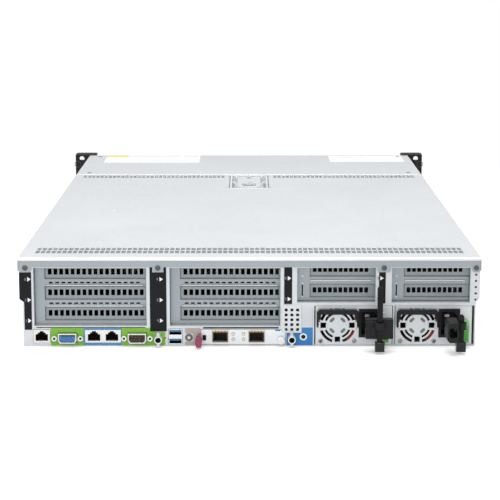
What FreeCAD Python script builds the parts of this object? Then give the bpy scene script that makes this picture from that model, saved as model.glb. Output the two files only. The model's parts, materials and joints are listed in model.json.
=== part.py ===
import FreeCAD, Part

import os
from math import cos, pi, radians, sin

import Sketcher
from FreeCAD import Placement, Rotation, Vector

# A 2u rack server. X runs to the right when the rear face is looked at, Y runs from the rear
# face to the front, Z is up. The origin is the middle of the floor pan's underside.

doc = FreeCAD.newDocument("rack_server")
sheet = doc.addObject("Spreadsheet::Sheet", "sizes")

# Driving dimensions in millimetres: name, value, meaning.
SIZES = [
    ("body_width", 434.0, "lower chassis over its side walls"),
    ("cover_width", 444.0, "over the cover skirts"),
    ("body_height", 86.5, "floor underside to cover top"),
    ("body_length", 740.0, "rear face to front face"),
    ("wall_gauge", 1.2, "pan, panel and rail sheet"),
    ("cover_gauge", 1.0, "cover sheet"),
    ("cover_side_gap", 0.6, "cover skirt to side wall"),
    ("cover_skirt", 13.5, "cover skirt height"),
    ("cover_bend", 2.5, "outer radius of the cover's rear bend"),
    ("cover_split", 555.0, "rear face to the seam between the covers"),
    ("seam_gap", 0.8, "gap between the two covers"),
    ("joggle_level", 43.0, "height where the side walls step out"),
    ("wall_return", 8.0, "inward flange along the top of a side wall"),
    # vents in the covers
    ("rear_vent_pitch", 5.2, "rear vent slots, centre to centre"),
    ("rear_vent_count", 80, "rear vent slots"),
    ("vent_slot_width", 3.9, "vent slot across"),
    ("rear_vent_start", 23.0, "rear face to the rear vent band"),
    ("rear_vent_length", 29.0, "rear vent band"),
    ("front_vent_pitch", 5.3, "front vent slots, centre to centre"),
    ("front_vent_count", 34, "front vent slots on each side of the latch"),
    ("front_vent_inset", 31.0, "middle of the cover to the first front vent slot"),
    ("front_vent_length", 18.0, "front vent band"),
    ("front_vent_setback", 9.0, "seam to the front vent band"),
    # cover latch
    ("latch_setback", 12.0, "seam to the latch tray"),
    ("tray_length", 104.0, "pressed latch tray along the cover"),
    ("tray_width", 42.0, "pressed latch tray across"),
    ("tray_depth", 7.0, "pressed latch tray"),
    ("latch_width", 29.0, "latch handle across"),
    ("latch_length", 84.0, "latch handle"),
    ("latch_thickness", 2.6, "latch handle"),
    ("latch_pin_radius", 1.5, "latch handle's pivot pins"),
    ("pin_clearance", 0.06, "radial clearance of hinge pins"),
    # rear panel
    ("bay_floor", 18.4, "lower edge of the full height slot bays"),
    ("bay_top", 77.8, "upper edge of all slot bays"),
    ("small_bay_floor", 41.4, "lower edge of the slot bays above the supplies"),
    ("left_bay_start", -207.8, "left bay, left edge"),
    ("left_bay_end", -97.4, "left bay, right edge"),
    ("middle_bay_start", -77.5, "middle bay, left edge"),
    ("middle_bay_end", 30.8, "middle bay, right edge"),
    ("third_bay_start", 44.6, "third bay, left edge"),
    ("third_bay_end", 122.0, "third bay, right edge"),
    ("fourth_bay_start", 135.0, "fourth bay, left edge"),
    ("fourth_bay_end", 212.4, "fourth bay, right edge"),
    ("bay_flange", 7.0, "depth of the flanges round the bays"),
    ("rail_floor", 77.5, "lower edge of the rear top rail"),
    ("rail_tab_drop", 4.9, "tabs below the rear top rail"),
    ("screw_head_radius", 2.6, "tab screws"),
    ("label_gauge", 0.4, "slot label strips"),
    # expansion slots
    ("slot_pitch", 20.32, "slot to slot"),
    ("first_slot_level", 30.2, "middle of the lowest full slot"),
    ("slot_window_height", 12.0, "window round a slot cover"),
    ("slot_window_length", 99.0, "window along a full slot cover"),
    ("slot_window_inset", 11.6, "bay edge to the slot windows"),
    ("slot_hole_pitch", 5.51, "holes of a full slot cover"),
    ("slot_hole_count", 17, "holes of a full slot cover"),
    ("slot_hole_width", 3.6, "hole of a slot cover across"),
    ("slot_hole_height", 5.7, "hole of a slot cover up and down"),
    ("dash_pitch", 5.98, "dash holes between the slots"),
    ("dash_count", 15, "dash holes in a row"),
    ("dash_length", 3.7, "dash hole along its row"),
    ("dash_height", 1.5, "dash hole up and down"),
    ("slot_cover_gauge", 0.8, "slot cover sheet"),
    ("cage_gauge", 1.0, "riser cage sheet"),
    ("cage_length", 195.0, "riser cages behind their face"),
    ("small_hole_pitch", 4.97, "holes of a small slot cover"),
    ("small_hole_count", 11, "holes of a small slot cover"),
    ("small_slot_level", 52.8, "middle of the lower small slot"),
    ("small_window_length", 62.0, "window along a small slot cover"),
    ("small_window_inset", 14.0, "small bay edge to its slot windows"),
    # port row
    ("port_level", 8.4, "middle of the rear connectors"),
    ("board_top", 3.4, "upper face of the motherboard"),
    ("board_gauge", 1.6, "circuit boards"),
    ("port_gap", 0.3, "gap round connectors in the panel"),
    ("lan_width", 16.0, "network jack across"),
    ("panel_seam", -89.0, "seam where the rear wall's two sheets meet"),
    ("panel_seam_gap", 0.05, "gap along that seam"),
    ("lan_height", 12.6, "network jack, top to bottom"),
    ("lan_depth", 21.0, "network jack, rear to front"),
    ("lan_proud", 0.8, "network jack behind the panel face"),
    ("lan_opening", 11.8, "network jack opening across"),
    ("management_lan_x", -199.6, "management network jack"),
    ("twin_lan_x", -140.8, "middle of the twin network jack"),
    ("twin_lan_pitch", 17.2, "twin network jack, opening to opening"),
    ("vga_x", -174.7, "video connector"),
    ("serial_x", -107.9, "serial connector"),
    ("dsub_screw_pitch", 25.0, "jack screws of a D connector"),
    ("dsub_width", 17.4, "D shell across"),
    ("dsub_height", 9.4, "D shell up and down"),
    ("dsub_proud", 5.6, "D shell behind the panel face"),
    ("jack_screw_radius", 2.5, "hexagon jack screw across corners, half"),
    ("usb_x", -71.2, "stacked USB ports"),
    ("usb_width", 13.0, "USB stack across"),
    ("usb_height", 15.0, "USB stack up and down"),
    ("usb_opening_width", 11.6, "USB opening across"),
    ("usb_opening_height", 4.6, "USB opening up and down"),
    ("uid_x", -58.2, "identification button"),
    ("button_radius", 3.0, "rear identification button"),
    ("button_gap", 0.2, "buttons in their holes"),
    ("power_x", 51.8, "rear power button"),
    ("power_radius", 2.0, "rear power button"),
    ("power_level", 9.2, "rear power button"),
    ("button_travel", 1.2, "travel of the buttons"),
    ("post_width", 2.8, "guide rib of the columns"),
    ("post_depth", 8.0, "guide rib behind the panel face"),
    ("post_boss_radius", 3.7, "screw boss on a guide rib"),
    ("post_bore_radius", 2.7, "screw boss bore"),
    ("post_level", 7.7, "screw boss height"),
    ("vent_plate_end", 49.8, "right edge of the small vent plate"),
    ("vent_plate_floor", 13.2, "lower edge of the small vent plate"),
    # network module
    ("module_start", -46.4, "network module, left edge"),
    ("module_end", 34.6, "network module, right edge"),
    ("module_floor", 1.7, "network module, lower edge"),
    ("module_top", 16.2, "network module, upper edge"),
    ("module_length", 112.0, "network module board"),
    ("module_gap", 0.4, "network module in its opening"),
    ("cage_first_x", -28.1, "left module cage"),
    ("cage_pitch", 34.9, "module cage to module cage"),
    ("cage_width", 15.0, "module cage across"),
    ("cage_height", 11.4, "module cage up and down"),
    ("cage_level", 9.6, "middle of the module cages"),
    ("cage_depth", 48.0, "module cage, rear to front"),
    ("thumbscrew_x", 30.4, "module thumbscrew"),
    ("thumbscrew_level", 5.9, "module thumbscrew"),
    ("thumbscrew_radius", 3.9, "module thumbscrew head"),
    ("thumbscrew_head", 5.0, "module thumbscrew head length"),
    ("thumbscrew_shank", 1.5, "module thumbscrew shank radius"),
    ("tab_width", 6.8, "module pull tab across"),
    ("tab_height", 11.2, "module pull tab up and down"),
    ("tab_length", 15.0, "module pull tab behind the face"),
    # power supplies
    ("psu_width", 73.5, "power supply across"),
    ("psu_height", 37.8, "power supply, top to bottom"),
    ("psu_length", 185.0, "power supply case"),
    ("psu_pitch", 76.6, "power supply to power supply"),
    ("psu_start", 63.4, "left edge of the first power supply"),
    ("psu_lift", 0.3, "power supply above the floor"),
    ("psu_gap", 0.5, "power supply below its shelf"),
    ("psu_wall", 1.0, "power supply case sheet"),
    ("guard_inset", 21.2, "supply's left edge to its fan's axis"),
    ("guard_level", 18.9, "supply's lower edge to its fan's axis"),
    ("guard_hub", 11.2, "plain middle of the fan guard"),
    ("guard_inner", 13.2, "inner guard slots, outer radius"),
    ("guard_middle", 14.9, "outer guard slots, inner radius"),
    ("guard_outer", 17.6, "outer guard slots, outer radius"),
    ("guard_notch", 5.2, "square guard notches"),
    ("rotor_radius", 16.8, "supply fan"),
    ("rotor_depth", 15.0, "supply fan"),
    ("inlet_x", 30.6, "fan axis to mains inlet"),
    ("inlet_level", 2.2, "fan axis to mains inlet, up"),
    ("inlet_width", 20.4, "mains inlet across"),
    ("inlet_height", 28.0, "mains inlet up and down"),
    ("inlet_proud", 1.5, "mains inlet behind the face"),
    ("inlet_socket_width", 15.6, "mains inlet cavity across"),
    ("inlet_socket_height", 22.4, "mains inlet cavity up and down"),
    ("inlet_socket_depth", 16.0, "mains inlet cavity"),
    ("bail_half_width", 20.1, "bail handle, half its width"),
    ("bail_height", 16.2, "fan axis to the bail handle's top"),
    ("bail_band", 4.6, "bail handle's cross bar"),
    ("bail_leg", 1.5, "bail handle's legs at the pivots"),
    ("bail_shoulder", 3.8, "bail handle's legs above the pivots"),
    ("bail_pivot_level", 1.3, "bail handle's pivots above the fan axis"),
    ("bail_pin_radius", 1.1, "bail handle's pivots"),
    ("bail_depth", 4.0, "bail handle, front to back"),
    ("bail_standoff", 1.6, "face to bail handle"),
    ("latch_x", 42.4, "fan axis to the supply latch"),
    ("latch_tab_width", 5.8, "supply latch across"),
    ("latch_tab_floor", -14.8, "supply latch, lower end from the fan axis"),
    ("latch_tab_top", 5.8, "supply latch, upper end from the fan axis"),
    ("latch_tab_depth", 9.5, "supply latch behind the face"),
    ("latch_travel", 3.0, "supply latch"),
    ("strap_x", 38.2, "fan axis to the cord strap"),
    ("strap_standoff", 31.0, "face to the cord strap"),
    ("strap_width", 5.2, "cord strap across"),
    ("strap_gauge", 1.4, "cord strap without its ribs"),
    ("strap_rib", 0.8, "cord strap ribs"),
    ("strap_rib_pitch", 2.4, "cord strap ribs"),
    ("strap_clearance", 0.3, "cord strap in its anchor"),
    ("anchor_floor", -18.0, "anchor eye, lower face from the fan axis"),
    ("anchor_height", 9.0, "anchor eye, top to bottom"),
    ("clamp_width", 10.4, "cord clamp across"),
    ("clamp_depth", 26.0, "cord clamp, along the cord"),
    ("clamp_height", 18.8, "cord clamp, top to bottom"),
    ("clamp_floor", -6.8, "cord clamp, lower face from the fan axis"),
    ("clamp_eye", 3.9, "round eye of the clamp"),
    ("clamp_eye_wall", 1.2, "wall of the clamp's eye"),
    ("clamp_bore_width", 7.2, "clamp's cord opening across"),
    ("clamp_bore_height", 9.6, "clamp's cord opening up and down"),
    # board and cooling
    ("board_end", 60.0, "front edge of the motherboard"),
    ("board_side_gap", 3.0, "motherboard to side wall"),
    ("board_notch", -168.5, "rear edge of the board beside the supplies"),
    ("sink_x", 108.0, "heat sinks from the middle"),
    ("sink_y", -40.0, "middle of the heat sinks"),
    ("sink_width", 78.0, "heat sinks across"),
    ("sink_length", 108.0, "heat sinks along the air flow"),
    ("sink_height", 60.0, "heat sinks above the board"),
    ("sink_base", 9.0, "heat sink base and socket"),
    ("fin_gauge", 0.8, "heat sink fins"),
    ("fin_count", 13, "heat sink fins"),
    ("memory_length", 133.3, "memory module"),
    ("memory_height", 31.0, "memory module"),
    ("memory_gauge", 1.4, "memory module"),
    ("memory_pitch", 8.2, "memory module to memory module"),
    ("memory_count", 6, "memory modules in a group"),
    ("memory_seat", 6.0, "memory sockets above the board"),
    ("duct_gauge", 1.6, "air duct"),
    ("duct_start", -122.0, "rear edge of the air duct"),
    ("duct_rear_top", 72.0, "air duct roof at its rear"),
    ("duct_front_top", 77.6, "air duct roof at the fans"),
    ("fan_size", 76.0, "system fan frame"),
    ("fan_pitch", 105.0, "system fan to system fan"),
    ("fan_y", 92.0, "middle of the system fans"),
    ("fan_depth", 38.0, "system fan frame, rear to front"),
    ("fan_level", 40.0, "system fan axis"),
    ("fan_bore", 36.4, "system fan opening radius"),
    ("fan_blade_radius", 35.2, "system fan blades"),
    ("fan_hub_radius", 19.0, "system fan hub"),
    ("fan_blade_count", 7, "blades of a fan"),
    # drives
    ("bay_columns", 4, "drive bays across"),
    ("bay_rows", 3, "drive bays up"),
    ("column_pitch", 105.5, "drive bay to drive bay, across"),
    ("row_pitch", 27.2, "drive bay to drive bay, up"),
    ("drive_floor", 1.9, "lower edge of the drive bays"),
    ("bay_wall", 0.8, "drive cage sheet"),
    ("cage_start", 212.0, "rear edge of the drive cage"),
    ("drive_gap", 0.4, "drive carrier in its bay"),
    ("drive_length", 147.0, "drive in its carrier"),
    ("bezel_depth", 12.0, "carrier bezel"),
    ("bezel_proud", 9.0, "carrier bezel in front of the cage"),
    ("lever_length", 84.0, "drive lever"),
    ("lever_depth", 5.0, "drive lever"),
    ("lever_height", 20.0, "drive lever"),
    ("lever_pin_radius", 1.5, "drive lever's pivot pin"),
    # ears
    ("rack_width", 482.6, "over the rack ears"),
    ("ear_depth", 24.0, "rack ears along the rack"),
    ("ear_height", 87.0, "rack ears"),
    ("rack_hole_width", 465.1, "rack holes, left to right"),
    ("rack_hole_height", 76.2, "rack holes, up"),
    ("rack_hole_radius", 3.4, "rack holes"),
    ("ear_flange", 3.0, "rack ear flange"),
    ("front_button_radius", 5.0, "front power button"),
    ("front_button_level", 62.0, "front power button"),
    ("rail_stud_radius", 3.2, "slide rail studs"),
    ("rail_stud_pitch", 290.0, "slide rail studs"),
    ("rail_stud_level", 24.0, "slide rail studs"),
]

row = 0
for name, value, meaning in SIZES:
    row += 1
    sheet.set(f"A{row}", name)
    sheet.set(f"B{row}", str(value))
    sheet.setAlias(f"B{row}", name)
    sheet.set(f"C{row}", meaning)
doc.recompute()


class Size:
    """A number worked out from the sheet, with the formula that binds it there."""

    def __init__(self, value, formula):
        self.value = value
        self.formula = formula

    def __add__(self, other):
        other = as_size(other)
        return Size(self.value + other.value, f"({self.formula} + {other.formula})")

    def __sub__(self, other):
        other = as_size(other)
        return Size(self.value - other.value, f"({self.formula} - {other.formula})")

    def __mul__(self, other):
        other = as_size(other)
        return Size(self.value * other.value, f"({self.formula} * {other.formula})")

    def __truediv__(self, other):
        other = as_size(other)
        return Size(self.value / other.value, f"({self.formula} / {other.formula})")

    def __neg__(self):
        return Size(-self.value, f"(0 - {self.formula})")

    def __radd__(self, other):
        return as_size(other) + self

    def __rsub__(self, other):
        return as_size(other) - self

    def __rmul__(self, other):
        return as_size(other) * self


def as_size(number):
    if isinstance(number, Size):
        return number
    return Size(float(number), f"({float(number)!r})")


class Sheet:
    """Gives each named cell as a Size."""

    def __getattr__(self, name):
        return Size(float(sheet.get(name)), f"sizes.{name}")


S = Sheet()


def bind(thing, path, size):
    """Sets one property, and ties it to the sheet where it comes from there."""
    size = as_size(size)
    thing.setExpression(path, size.formula)


# ---------------------------------------------------------------- building blocks

PLANES = {"XY": ("XY_Plane", 1), "XZ": ("XZ_Plane", -1), "YZ": ("YZ_Plane", 1)}
PARTS = []


def origin_part(body, role):
    return next(feature for feature in body.Origin.OriginFeatures if feature.Role == role)


def new_body(label, place=(0, 0, 0)):
    body = doc.addObject("PartDesign::Body", label)
    body.Label = label
    for axis, coordinate in zip("xyz", place):
        bind(body, f"Placement.Base.{axis}", coordinate)
    PARTS.append(body)
    return body


def fixed_point(edge, end, u, v):
    """Rules that tie one end of an edge to coordinates measured from the sketch's origin."""
    return [(("DistanceX", -1, 1, edge, end), as_size(u)), (("DistanceY", -1, 1, edge, end), as_size(v))]


def polygon(points):
    """A closed outline of straight edges through points given as (across, up)."""
    def draw(edges, rules):
        first = len(edges)
        corners = [Vector(as_size(u).value, as_size(v).value, 0) for u, v in points]
        count = len(corners)
        for i in range(count):
            following = (i + 1) % count
            edges.append(Part.LineSegment(corners[i], corners[following]))
            rules.append((("Coincident", first + i, 2, first + following, 1), None))
            rules.extend(fixed_point(first + i, 1, *points[i]))
    return draw


def rectangle(u0, u1, v0, v1):
    return polygon([(u0, v0), (u1, v0), (u1, v1), (u0, v1)])


def square(u, v, half):
    return rectangle(u - half, u + half, v - half, v + half)


def round_polygon(u, v, radius, sides):
    """A regular polygon that stands for a circle where no shaft or screw has to fit."""
    turns = [2 * pi * (i + 0.5) / sides for i in range(sides)]
    return polygon([(u + radius * cos(turn), v + radius * sin(turn)) for turn in turns])


def circle(u, v, radius):
    def draw(edges, rules):
        edge = len(edges)
        middle = Vector(as_size(u).value, as_size(v).value, 0)
        edges.append(Part.Circle(middle, Vector(0, 0, 1), as_size(radius).value))
        rules.extend(fixed_point(edge, 3, u, v))
        rules.append((("Radius", edge), as_size(radius)))
    return draw


def new_sketch(body, plane, level, outlines):
    """A sketch at a level of an origin plane; its rules hold sizes tied to the sheet."""
    role, sign = PLANES[plane]
    sketch = body.newObject("Sketcher::SketchObject", f"{body.Label}_sketch")
    sketch.AttachmentSupport = [(origin_part(body, role), "")]
    sketch.MapMode = "FlatFace"
    bind(sketch, "AttachmentOffset.Base.z", as_size(level) * sign)
    edges, rules = [], []
    for outline in outlines:
        outline(edges, rules)
    sketch.addGeometry(edges, False)
    sketch.addConstraint([
        Sketcher.Constraint(*terms) if size is None else Sketcher.Constraint(*terms, size.value)
        for terms, size in rules])
    for index, (terms, size) in enumerate(rules):
        if size is not None:
            bind(sketch, f"Constraints[{index}]", size)
    return sketch


def extrude(body, plane, start, end, outlines, cut=False):
    """Adds or cuts the outlines between two levels, start below end, across the plane."""
    sketch = new_sketch(body, plane, start, outlines)
    kind = "Pocket" if cut else "Pad"
    feature = body.newObject(f"PartDesign::{kind}", f"{body.Label}_{kind.lower()}")
    feature.Profile = sketch
    bind(feature, "Length", as_size(end) - start)
    along_normal = PLANES[plane][1] > 0
    feature.Reversed = along_normal if cut else not along_normal
    feature.Refine = False
    body.Tip = feature
    return feature


def block(body, x0, x1, y0, y1, z0, z1):
    return extrude(body, "XY", z0, z1, [rectangle(x0, x1, y0, y1)])


def turn(body, axis, outlines, cut=False):
    """Revolves outlines about an origin axis: drawn (along Y, radius) for Y, (radius, Z) for Z."""
    plane = {"Y_Axis": "YZ", "Z_Axis": "XZ", "X_Axis": "XZ"}[axis]
    sketch = new_sketch(body, plane, 0, outlines)
    kind = "Groove" if cut else "Revolution"
    feature = body.newObject(f"PartDesign::{kind}", f"{body.Label}_{kind.lower()}")
    feature.Profile = sketch
    feature.ReferenceAxis = (origin_part(body, axis), [""])
    feature.Angle = 360
    feature.Refine = False
    body.Tip = feature
    return feature


def repeat(body, features, axis, pitch, count, second=None):
    """Repeats features in a row, or in rows and columns with second = (axis, pitch, count)."""
    pattern = body.newObject("PartDesign::LinearPattern", f"{body.Label}_row")
    pattern.Originals = features
    pattern.Direction = (origin_part(body, axis), [""])
    bind(pattern, "Length", as_size(pitch) * (as_size(count) - 1))
    bind(pattern, "Occurrences", count)
    if second:
        pattern.Direction2 = (origin_part(body, second[0]), [""])
        bind(pattern, "Length2", as_size(second[1]) * (as_size(second[2]) - 1))
        bind(pattern, "Occurrences2", second[2])
    pattern.Refine = False
    body.Tip = pattern
    return pattern


def ring_of(body, features, axis, count):
    pattern = body.newObject("PartDesign::PolarPattern", f"{body.Label}_ring")
    pattern.Originals = features
    pattern.Axis = (origin_part(body, axis), [""])
    pattern.Angle = 360
    bind(pattern, "Occurrences", count)
    pattern.Refine = False
    body.Tip = pattern
    return pattern


# ---------------------------------------------------------------- shared places

rear_face = -S.body_length / 2
front_face = S.body_length / 2
lower_half = S.body_width / 2
upper_half = S.cover_width / 2 - S.cover_gauge - S.cover_side_gap
joggle_top = S.joggle_level + (upper_half - lower_half)
wall_top = S.body_height - S.cover_gauge
panel_front = rear_face + S.wall_gauge
rail_top = S.body_height - S.cover_bend - 0.3
rail_rear = rear_face - S.wall_gauge
seam = rear_face + S.cover_split


# ---------------------------------------------------------------- chassis

bays = {
    "left": (S.left_bay_start, S.left_bay_end, S.bay_floor),
    "middle": (S.middle_bay_start, S.middle_bay_end, S.bay_floor),
    "third": (S.third_bay_start, S.third_bay_end, S.small_bay_floor),
    "fourth": (S.fourth_bay_start, S.fourth_bay_end, S.small_bay_floor),
}
first_column = (-upper_half, S.left_bay_start)
second_column = (S.left_bay_end, S.middle_bay_start)
third_column = (S.middle_bay_end, S.third_bay_start)
fourth_column = (S.third_bay_end, S.fourth_bay_start)
last_column = (S.fourth_bay_end, upper_half)


def middle_of(pair):
    return (pair[0] + pair[1]) / 2


floor_top = S.wall_gauge
psu_floor = floor_top + S.psu_lift
psu_top = psu_floor + S.psu_height
shelf_level = psu_top + S.psu_gap
psu_first_axis = S.psu_start + S.guard_inset
psu_axis_level = psu_floor + S.guard_level
psu_last_end = S.psu_start + S.psu_pitch + S.psu_width
module_front = rear_face + S.module_length
post_columns = (middle_of(second_column), S.vent_plate_end - 9.2)


def base_pan():
    body = new_body("base_pan")
    gauge = S.wall_gauge
    right = [
        (lower_half, as_size(0)), (lower_half, S.joggle_level), (upper_half, joggle_top),
        (upper_half, wall_top), (upper_half - S.wall_return, wall_top),
        (upper_half - S.wall_return, wall_top - gauge), (upper_half - gauge, wall_top - gauge),
        (upper_half - gauge, joggle_top + gauge / 2),
        (lower_half - gauge, S.joggle_level + gauge / 2), (lower_half - gauge, gauge),
    ]
    left = [(-x, z) for x, z in reversed(right)]
    extrude(body, "XZ", panel_front, front_face - 3, [polygon(right + left)])
    for side in (-1, 1):
        inner = side * (lower_half - gauge / 2)
        outer = side * (lower_half + 3.2)
        low, high = (outer, inner) if side < 0 else (inner, outer)
        stud = circle(-S.rail_stud_pitch, S.rail_stud_level, S.rail_stud_radius)
        studs = extrude(body, "YZ", low, high, [stud])
        repeat(body, [studs], "Y_Axis", S.rail_stud_pitch, 3)
    pads = [
        square(x, y, 3.0)
        for x in (-S.sink_x - 90, -S.sink_x / 3, S.sink_x / 3)
        for y in (rear_face + 20, S.board_notch, S.board_end - 20)
    ]
    pads += [square(S.sink_x + 90, y, 3.0) for y in (S.board_notch + 20, S.board_end - 20)]
    extrude(body, "XY", floor_top, S.board_top - S.board_gauge, pads)
    return body


def rear_panel():
    """Two upright sheets with the slot bays and connector cut-outs, cut away at the supplies."""
    body = new_body("rear_panel")
    supply_opening = S.psu_start - 1.2
    outline = [
        (-lower_half, 0), (supply_opening, 0), (supply_opening, psu_top + 0.3),
        (lower_half, psu_top + 0.3), (lower_half, S.joggle_level),
        (upper_half, joggle_top), (upper_half, rail_top), (-upper_half, rail_top),
        (-upper_half, joggle_top), (-lower_half, S.joggle_level),
    ]
    windows = [rectangle(start, end, floor, S.bay_top) for start, end, floor in bays.values()]
    windows.append(rectangle(
        S.module_start - S.module_gap, S.module_end + S.module_gap,
        S.module_floor - S.module_gap, S.module_top + S.module_gap))
    gap = S.port_gap
    lan_floor = S.board_top + 0.1
    for x, half in ((S.management_lan_x, S.lan_width / 2),
                    (S.twin_lan_x, (S.twin_lan_pitch + S.lan_width) / 2 + 0.6)):
        windows.append(rectangle(
            x - half - gap, x + half + gap, lan_floor - gap, lan_floor + S.lan_height + gap))
    windows.append(rectangle(
        S.usb_x - S.usb_width / 2 - gap, S.usb_x + S.usb_width / 2 + gap,
        S.board_top - S.board_gauge - gap, S.board_top - S.board_gauge + S.usb_height + gap))
    for x in (S.vga_x, S.serial_x):
        windows.append(rectangle(
            x - S.dsub_width / 2 - gap, x + S.dsub_width / 2 + gap,
            S.port_level - S.dsub_height / 2 - gap, S.port_level + S.dsub_height / 2 + gap))
    windows.append(circle(S.uid_x, S.port_level, S.button_radius + S.button_gap))
    windows.append(circle(S.power_x, S.power_level, S.power_radius + S.button_gap))
    extrude(body, "XZ", rear_face, panel_front, [polygon(outline)])
    extrude(body, "XZ", rear_face, panel_front, windows, cut=True)
    # seam between the two sheets, behind the second label strip
    half_seam = S.panel_seam_gap / 2
    extrude(body, "XZ", rear_face - 0.1, panel_front + 0.1, [rectangle(
        S.panel_seam - half_seam, S.panel_seam + half_seam, as_size(-0.5), rail_top + as_size(0.5))], cut=True)
    # flanges bent forward round the bays
    gauge = S.wall_gauge
    rings = []
    for start, end, floor in bays.values():
        rings.append(rectangle(start, end, floor, S.bay_top))
        rings.append(rectangle(start + gauge, end - gauge, floor + gauge, S.bay_top - gauge))
    extrude(body, "XZ", rear_face, rear_face + S.bay_flange, rings)
    # small vent plate below the third column
    hole = 2.7
    plate_start = S.middle_bay_end
    extrude(body, "XZ", rear_face - 1.0, rear_face, [
        rectangle(plate_start, S.vent_plate_end, S.vent_plate_floor, S.small_bay_floor - 1)])
    first = plate_start + 4.4
    level = S.vent_plate_floor + 3.2
    holes = extrude(body, "XZ", rear_face - 1.2, panel_front + 0.2, [
        rectangle(first - hole / 2, first + hole / 2, level - hole / 2, level + hole / 2)], cut=True)
    repeat(body, [holes], "X_Axis", 5.5, 3, ("Z_Axis", 4.8, 5))
    # ring round the rear power button
    extrude(body, "XZ", rear_face - 1.0, rear_face, [
        circle(S.power_x, S.power_level, S.power_radius + 1.3),
        circle(S.power_x, S.power_level, S.power_radius + S.button_gap)])
    # small holes down the last column
    extrude(body, "XZ", rear_face - 0.2, panel_front + 0.2, [
        round_polygon(middle_of(last_column) + 0.2, 45.6 + 6.1 * i, 1.15, 8) for i in range(5)],
        cut=True)
    return body


def guide_posts():
    """Two ribs that stand off the rear panel, each with a screw boss."""
    body = new_body("guide_posts")
    rib_rear = rear_face - S.post_depth
    ribs = ((post_columns[0], S.vent_plate_floor + 1.2), (post_columns[1], S.vent_plate_floor))
    extrude(body, "XZ", rib_rear, rear_face, [
        rectangle(x - S.post_width / 2, x + S.post_width / 2, 0.2, top) for x, top in ribs])
    extrude(body, "XZ", rib_rear - 1, rear_face, [
        circle(x, S.post_level, S.post_boss_radius) for x, top in ribs])
    extrude(body, "XZ", rib_rear - 1.2, rear_face - 1, [
        circle(x, S.post_level, S.post_bore_radius) for x, top in ribs], cut=True)
    return body


tab_centres = (
    (middle_of(first_column), 11.8), (middle_of(second_column), 10.4),
    (middle_of(fourth_column), 12.9), (middle_of(last_column), 7.9))
tab_floor = S.rail_floor - S.rail_tab_drop
tab_screw_level = S.rail_floor - 0.7


def rear_top_rail():
    body = new_body("rear_top_rail")
    extrude(body, "XZ", rail_rear, rear_face, [
        rectangle(-upper_half, upper_half, S.rail_floor, rail_top)])
    slope = 1.6
    tabs = []
    for x, width in tab_centres:
        tabs.append(polygon([
            (x - width / 2 + slope, tab_floor), (x + width / 2 - slope, tab_floor),
            (x + width / 2, tab_floor + slope), (x + width / 2, S.rail_floor + 0.5),
            (x - width / 2, S.rail_floor + 0.5), (x - width / 2, tab_floor + slope)]))
    extrude(body, "XZ", rail_rear, rear_face, tabs)
    return body


def rear_screws():
    body = new_body("rear_screws")
    heads = [circle(x, tab_screw_level, S.screw_head_radius) for x, width in tab_centres]
    extrude(body, "XZ", rail_rear - 1.3, rail_rear, heads)
    return body


def label_strips():
    body = new_body("label_strips")
    rear = rear_face - S.label_gauge
    low_left = -lower_half + 1.2
    strips = [
        polygon([
            (low_left, 16.1), (first_column[1] - 1.0, 16.1), (first_column[1] - 0.8, joggle_top - 1.8),
            (first_column[1] - 0.8, tab_floor - 0.2), (-upper_half + 0.3, tab_floor - 0.2),
            (-upper_half + 0.3, joggle_top), (low_left, joggle_top - 3)]),
        rectangle(second_column[0] + 2.0, second_column[1] - 2.0, 14.6, S.rail_floor - 0.1),
        rectangle(third_column[0] + 2.4, third_column[1] - 3.8, S.small_bay_floor, S.rail_floor - 0.1),
        rectangle(fourth_column[0] + 1.9, fourth_column[1] - 4.8, S.small_bay_floor + 0.6,
                  tab_floor - 0.2),
    ]
    extrude(body, "XZ", rear, rear_face, strips)
    x, width = tab_centres[1]
    extrude(body, "XZ", rear - 0.1, rear_face + 0.1, [
        rectangle(x - width / 2 - 0.2, x + width / 2 + 0.2, tab_floor - 0.2, S.rail_floor)], cut=True)
    return body


# ---------------------------------------------------------------- expansion slots

cage_rear = rear_face + S.bay_flange + 1.0
slot_levels = [S.first_slot_level + S.slot_pitch * i for i in range(3)]


def full_window_start(bay):
    return bays[bay][0] + S.slot_window_inset


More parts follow.
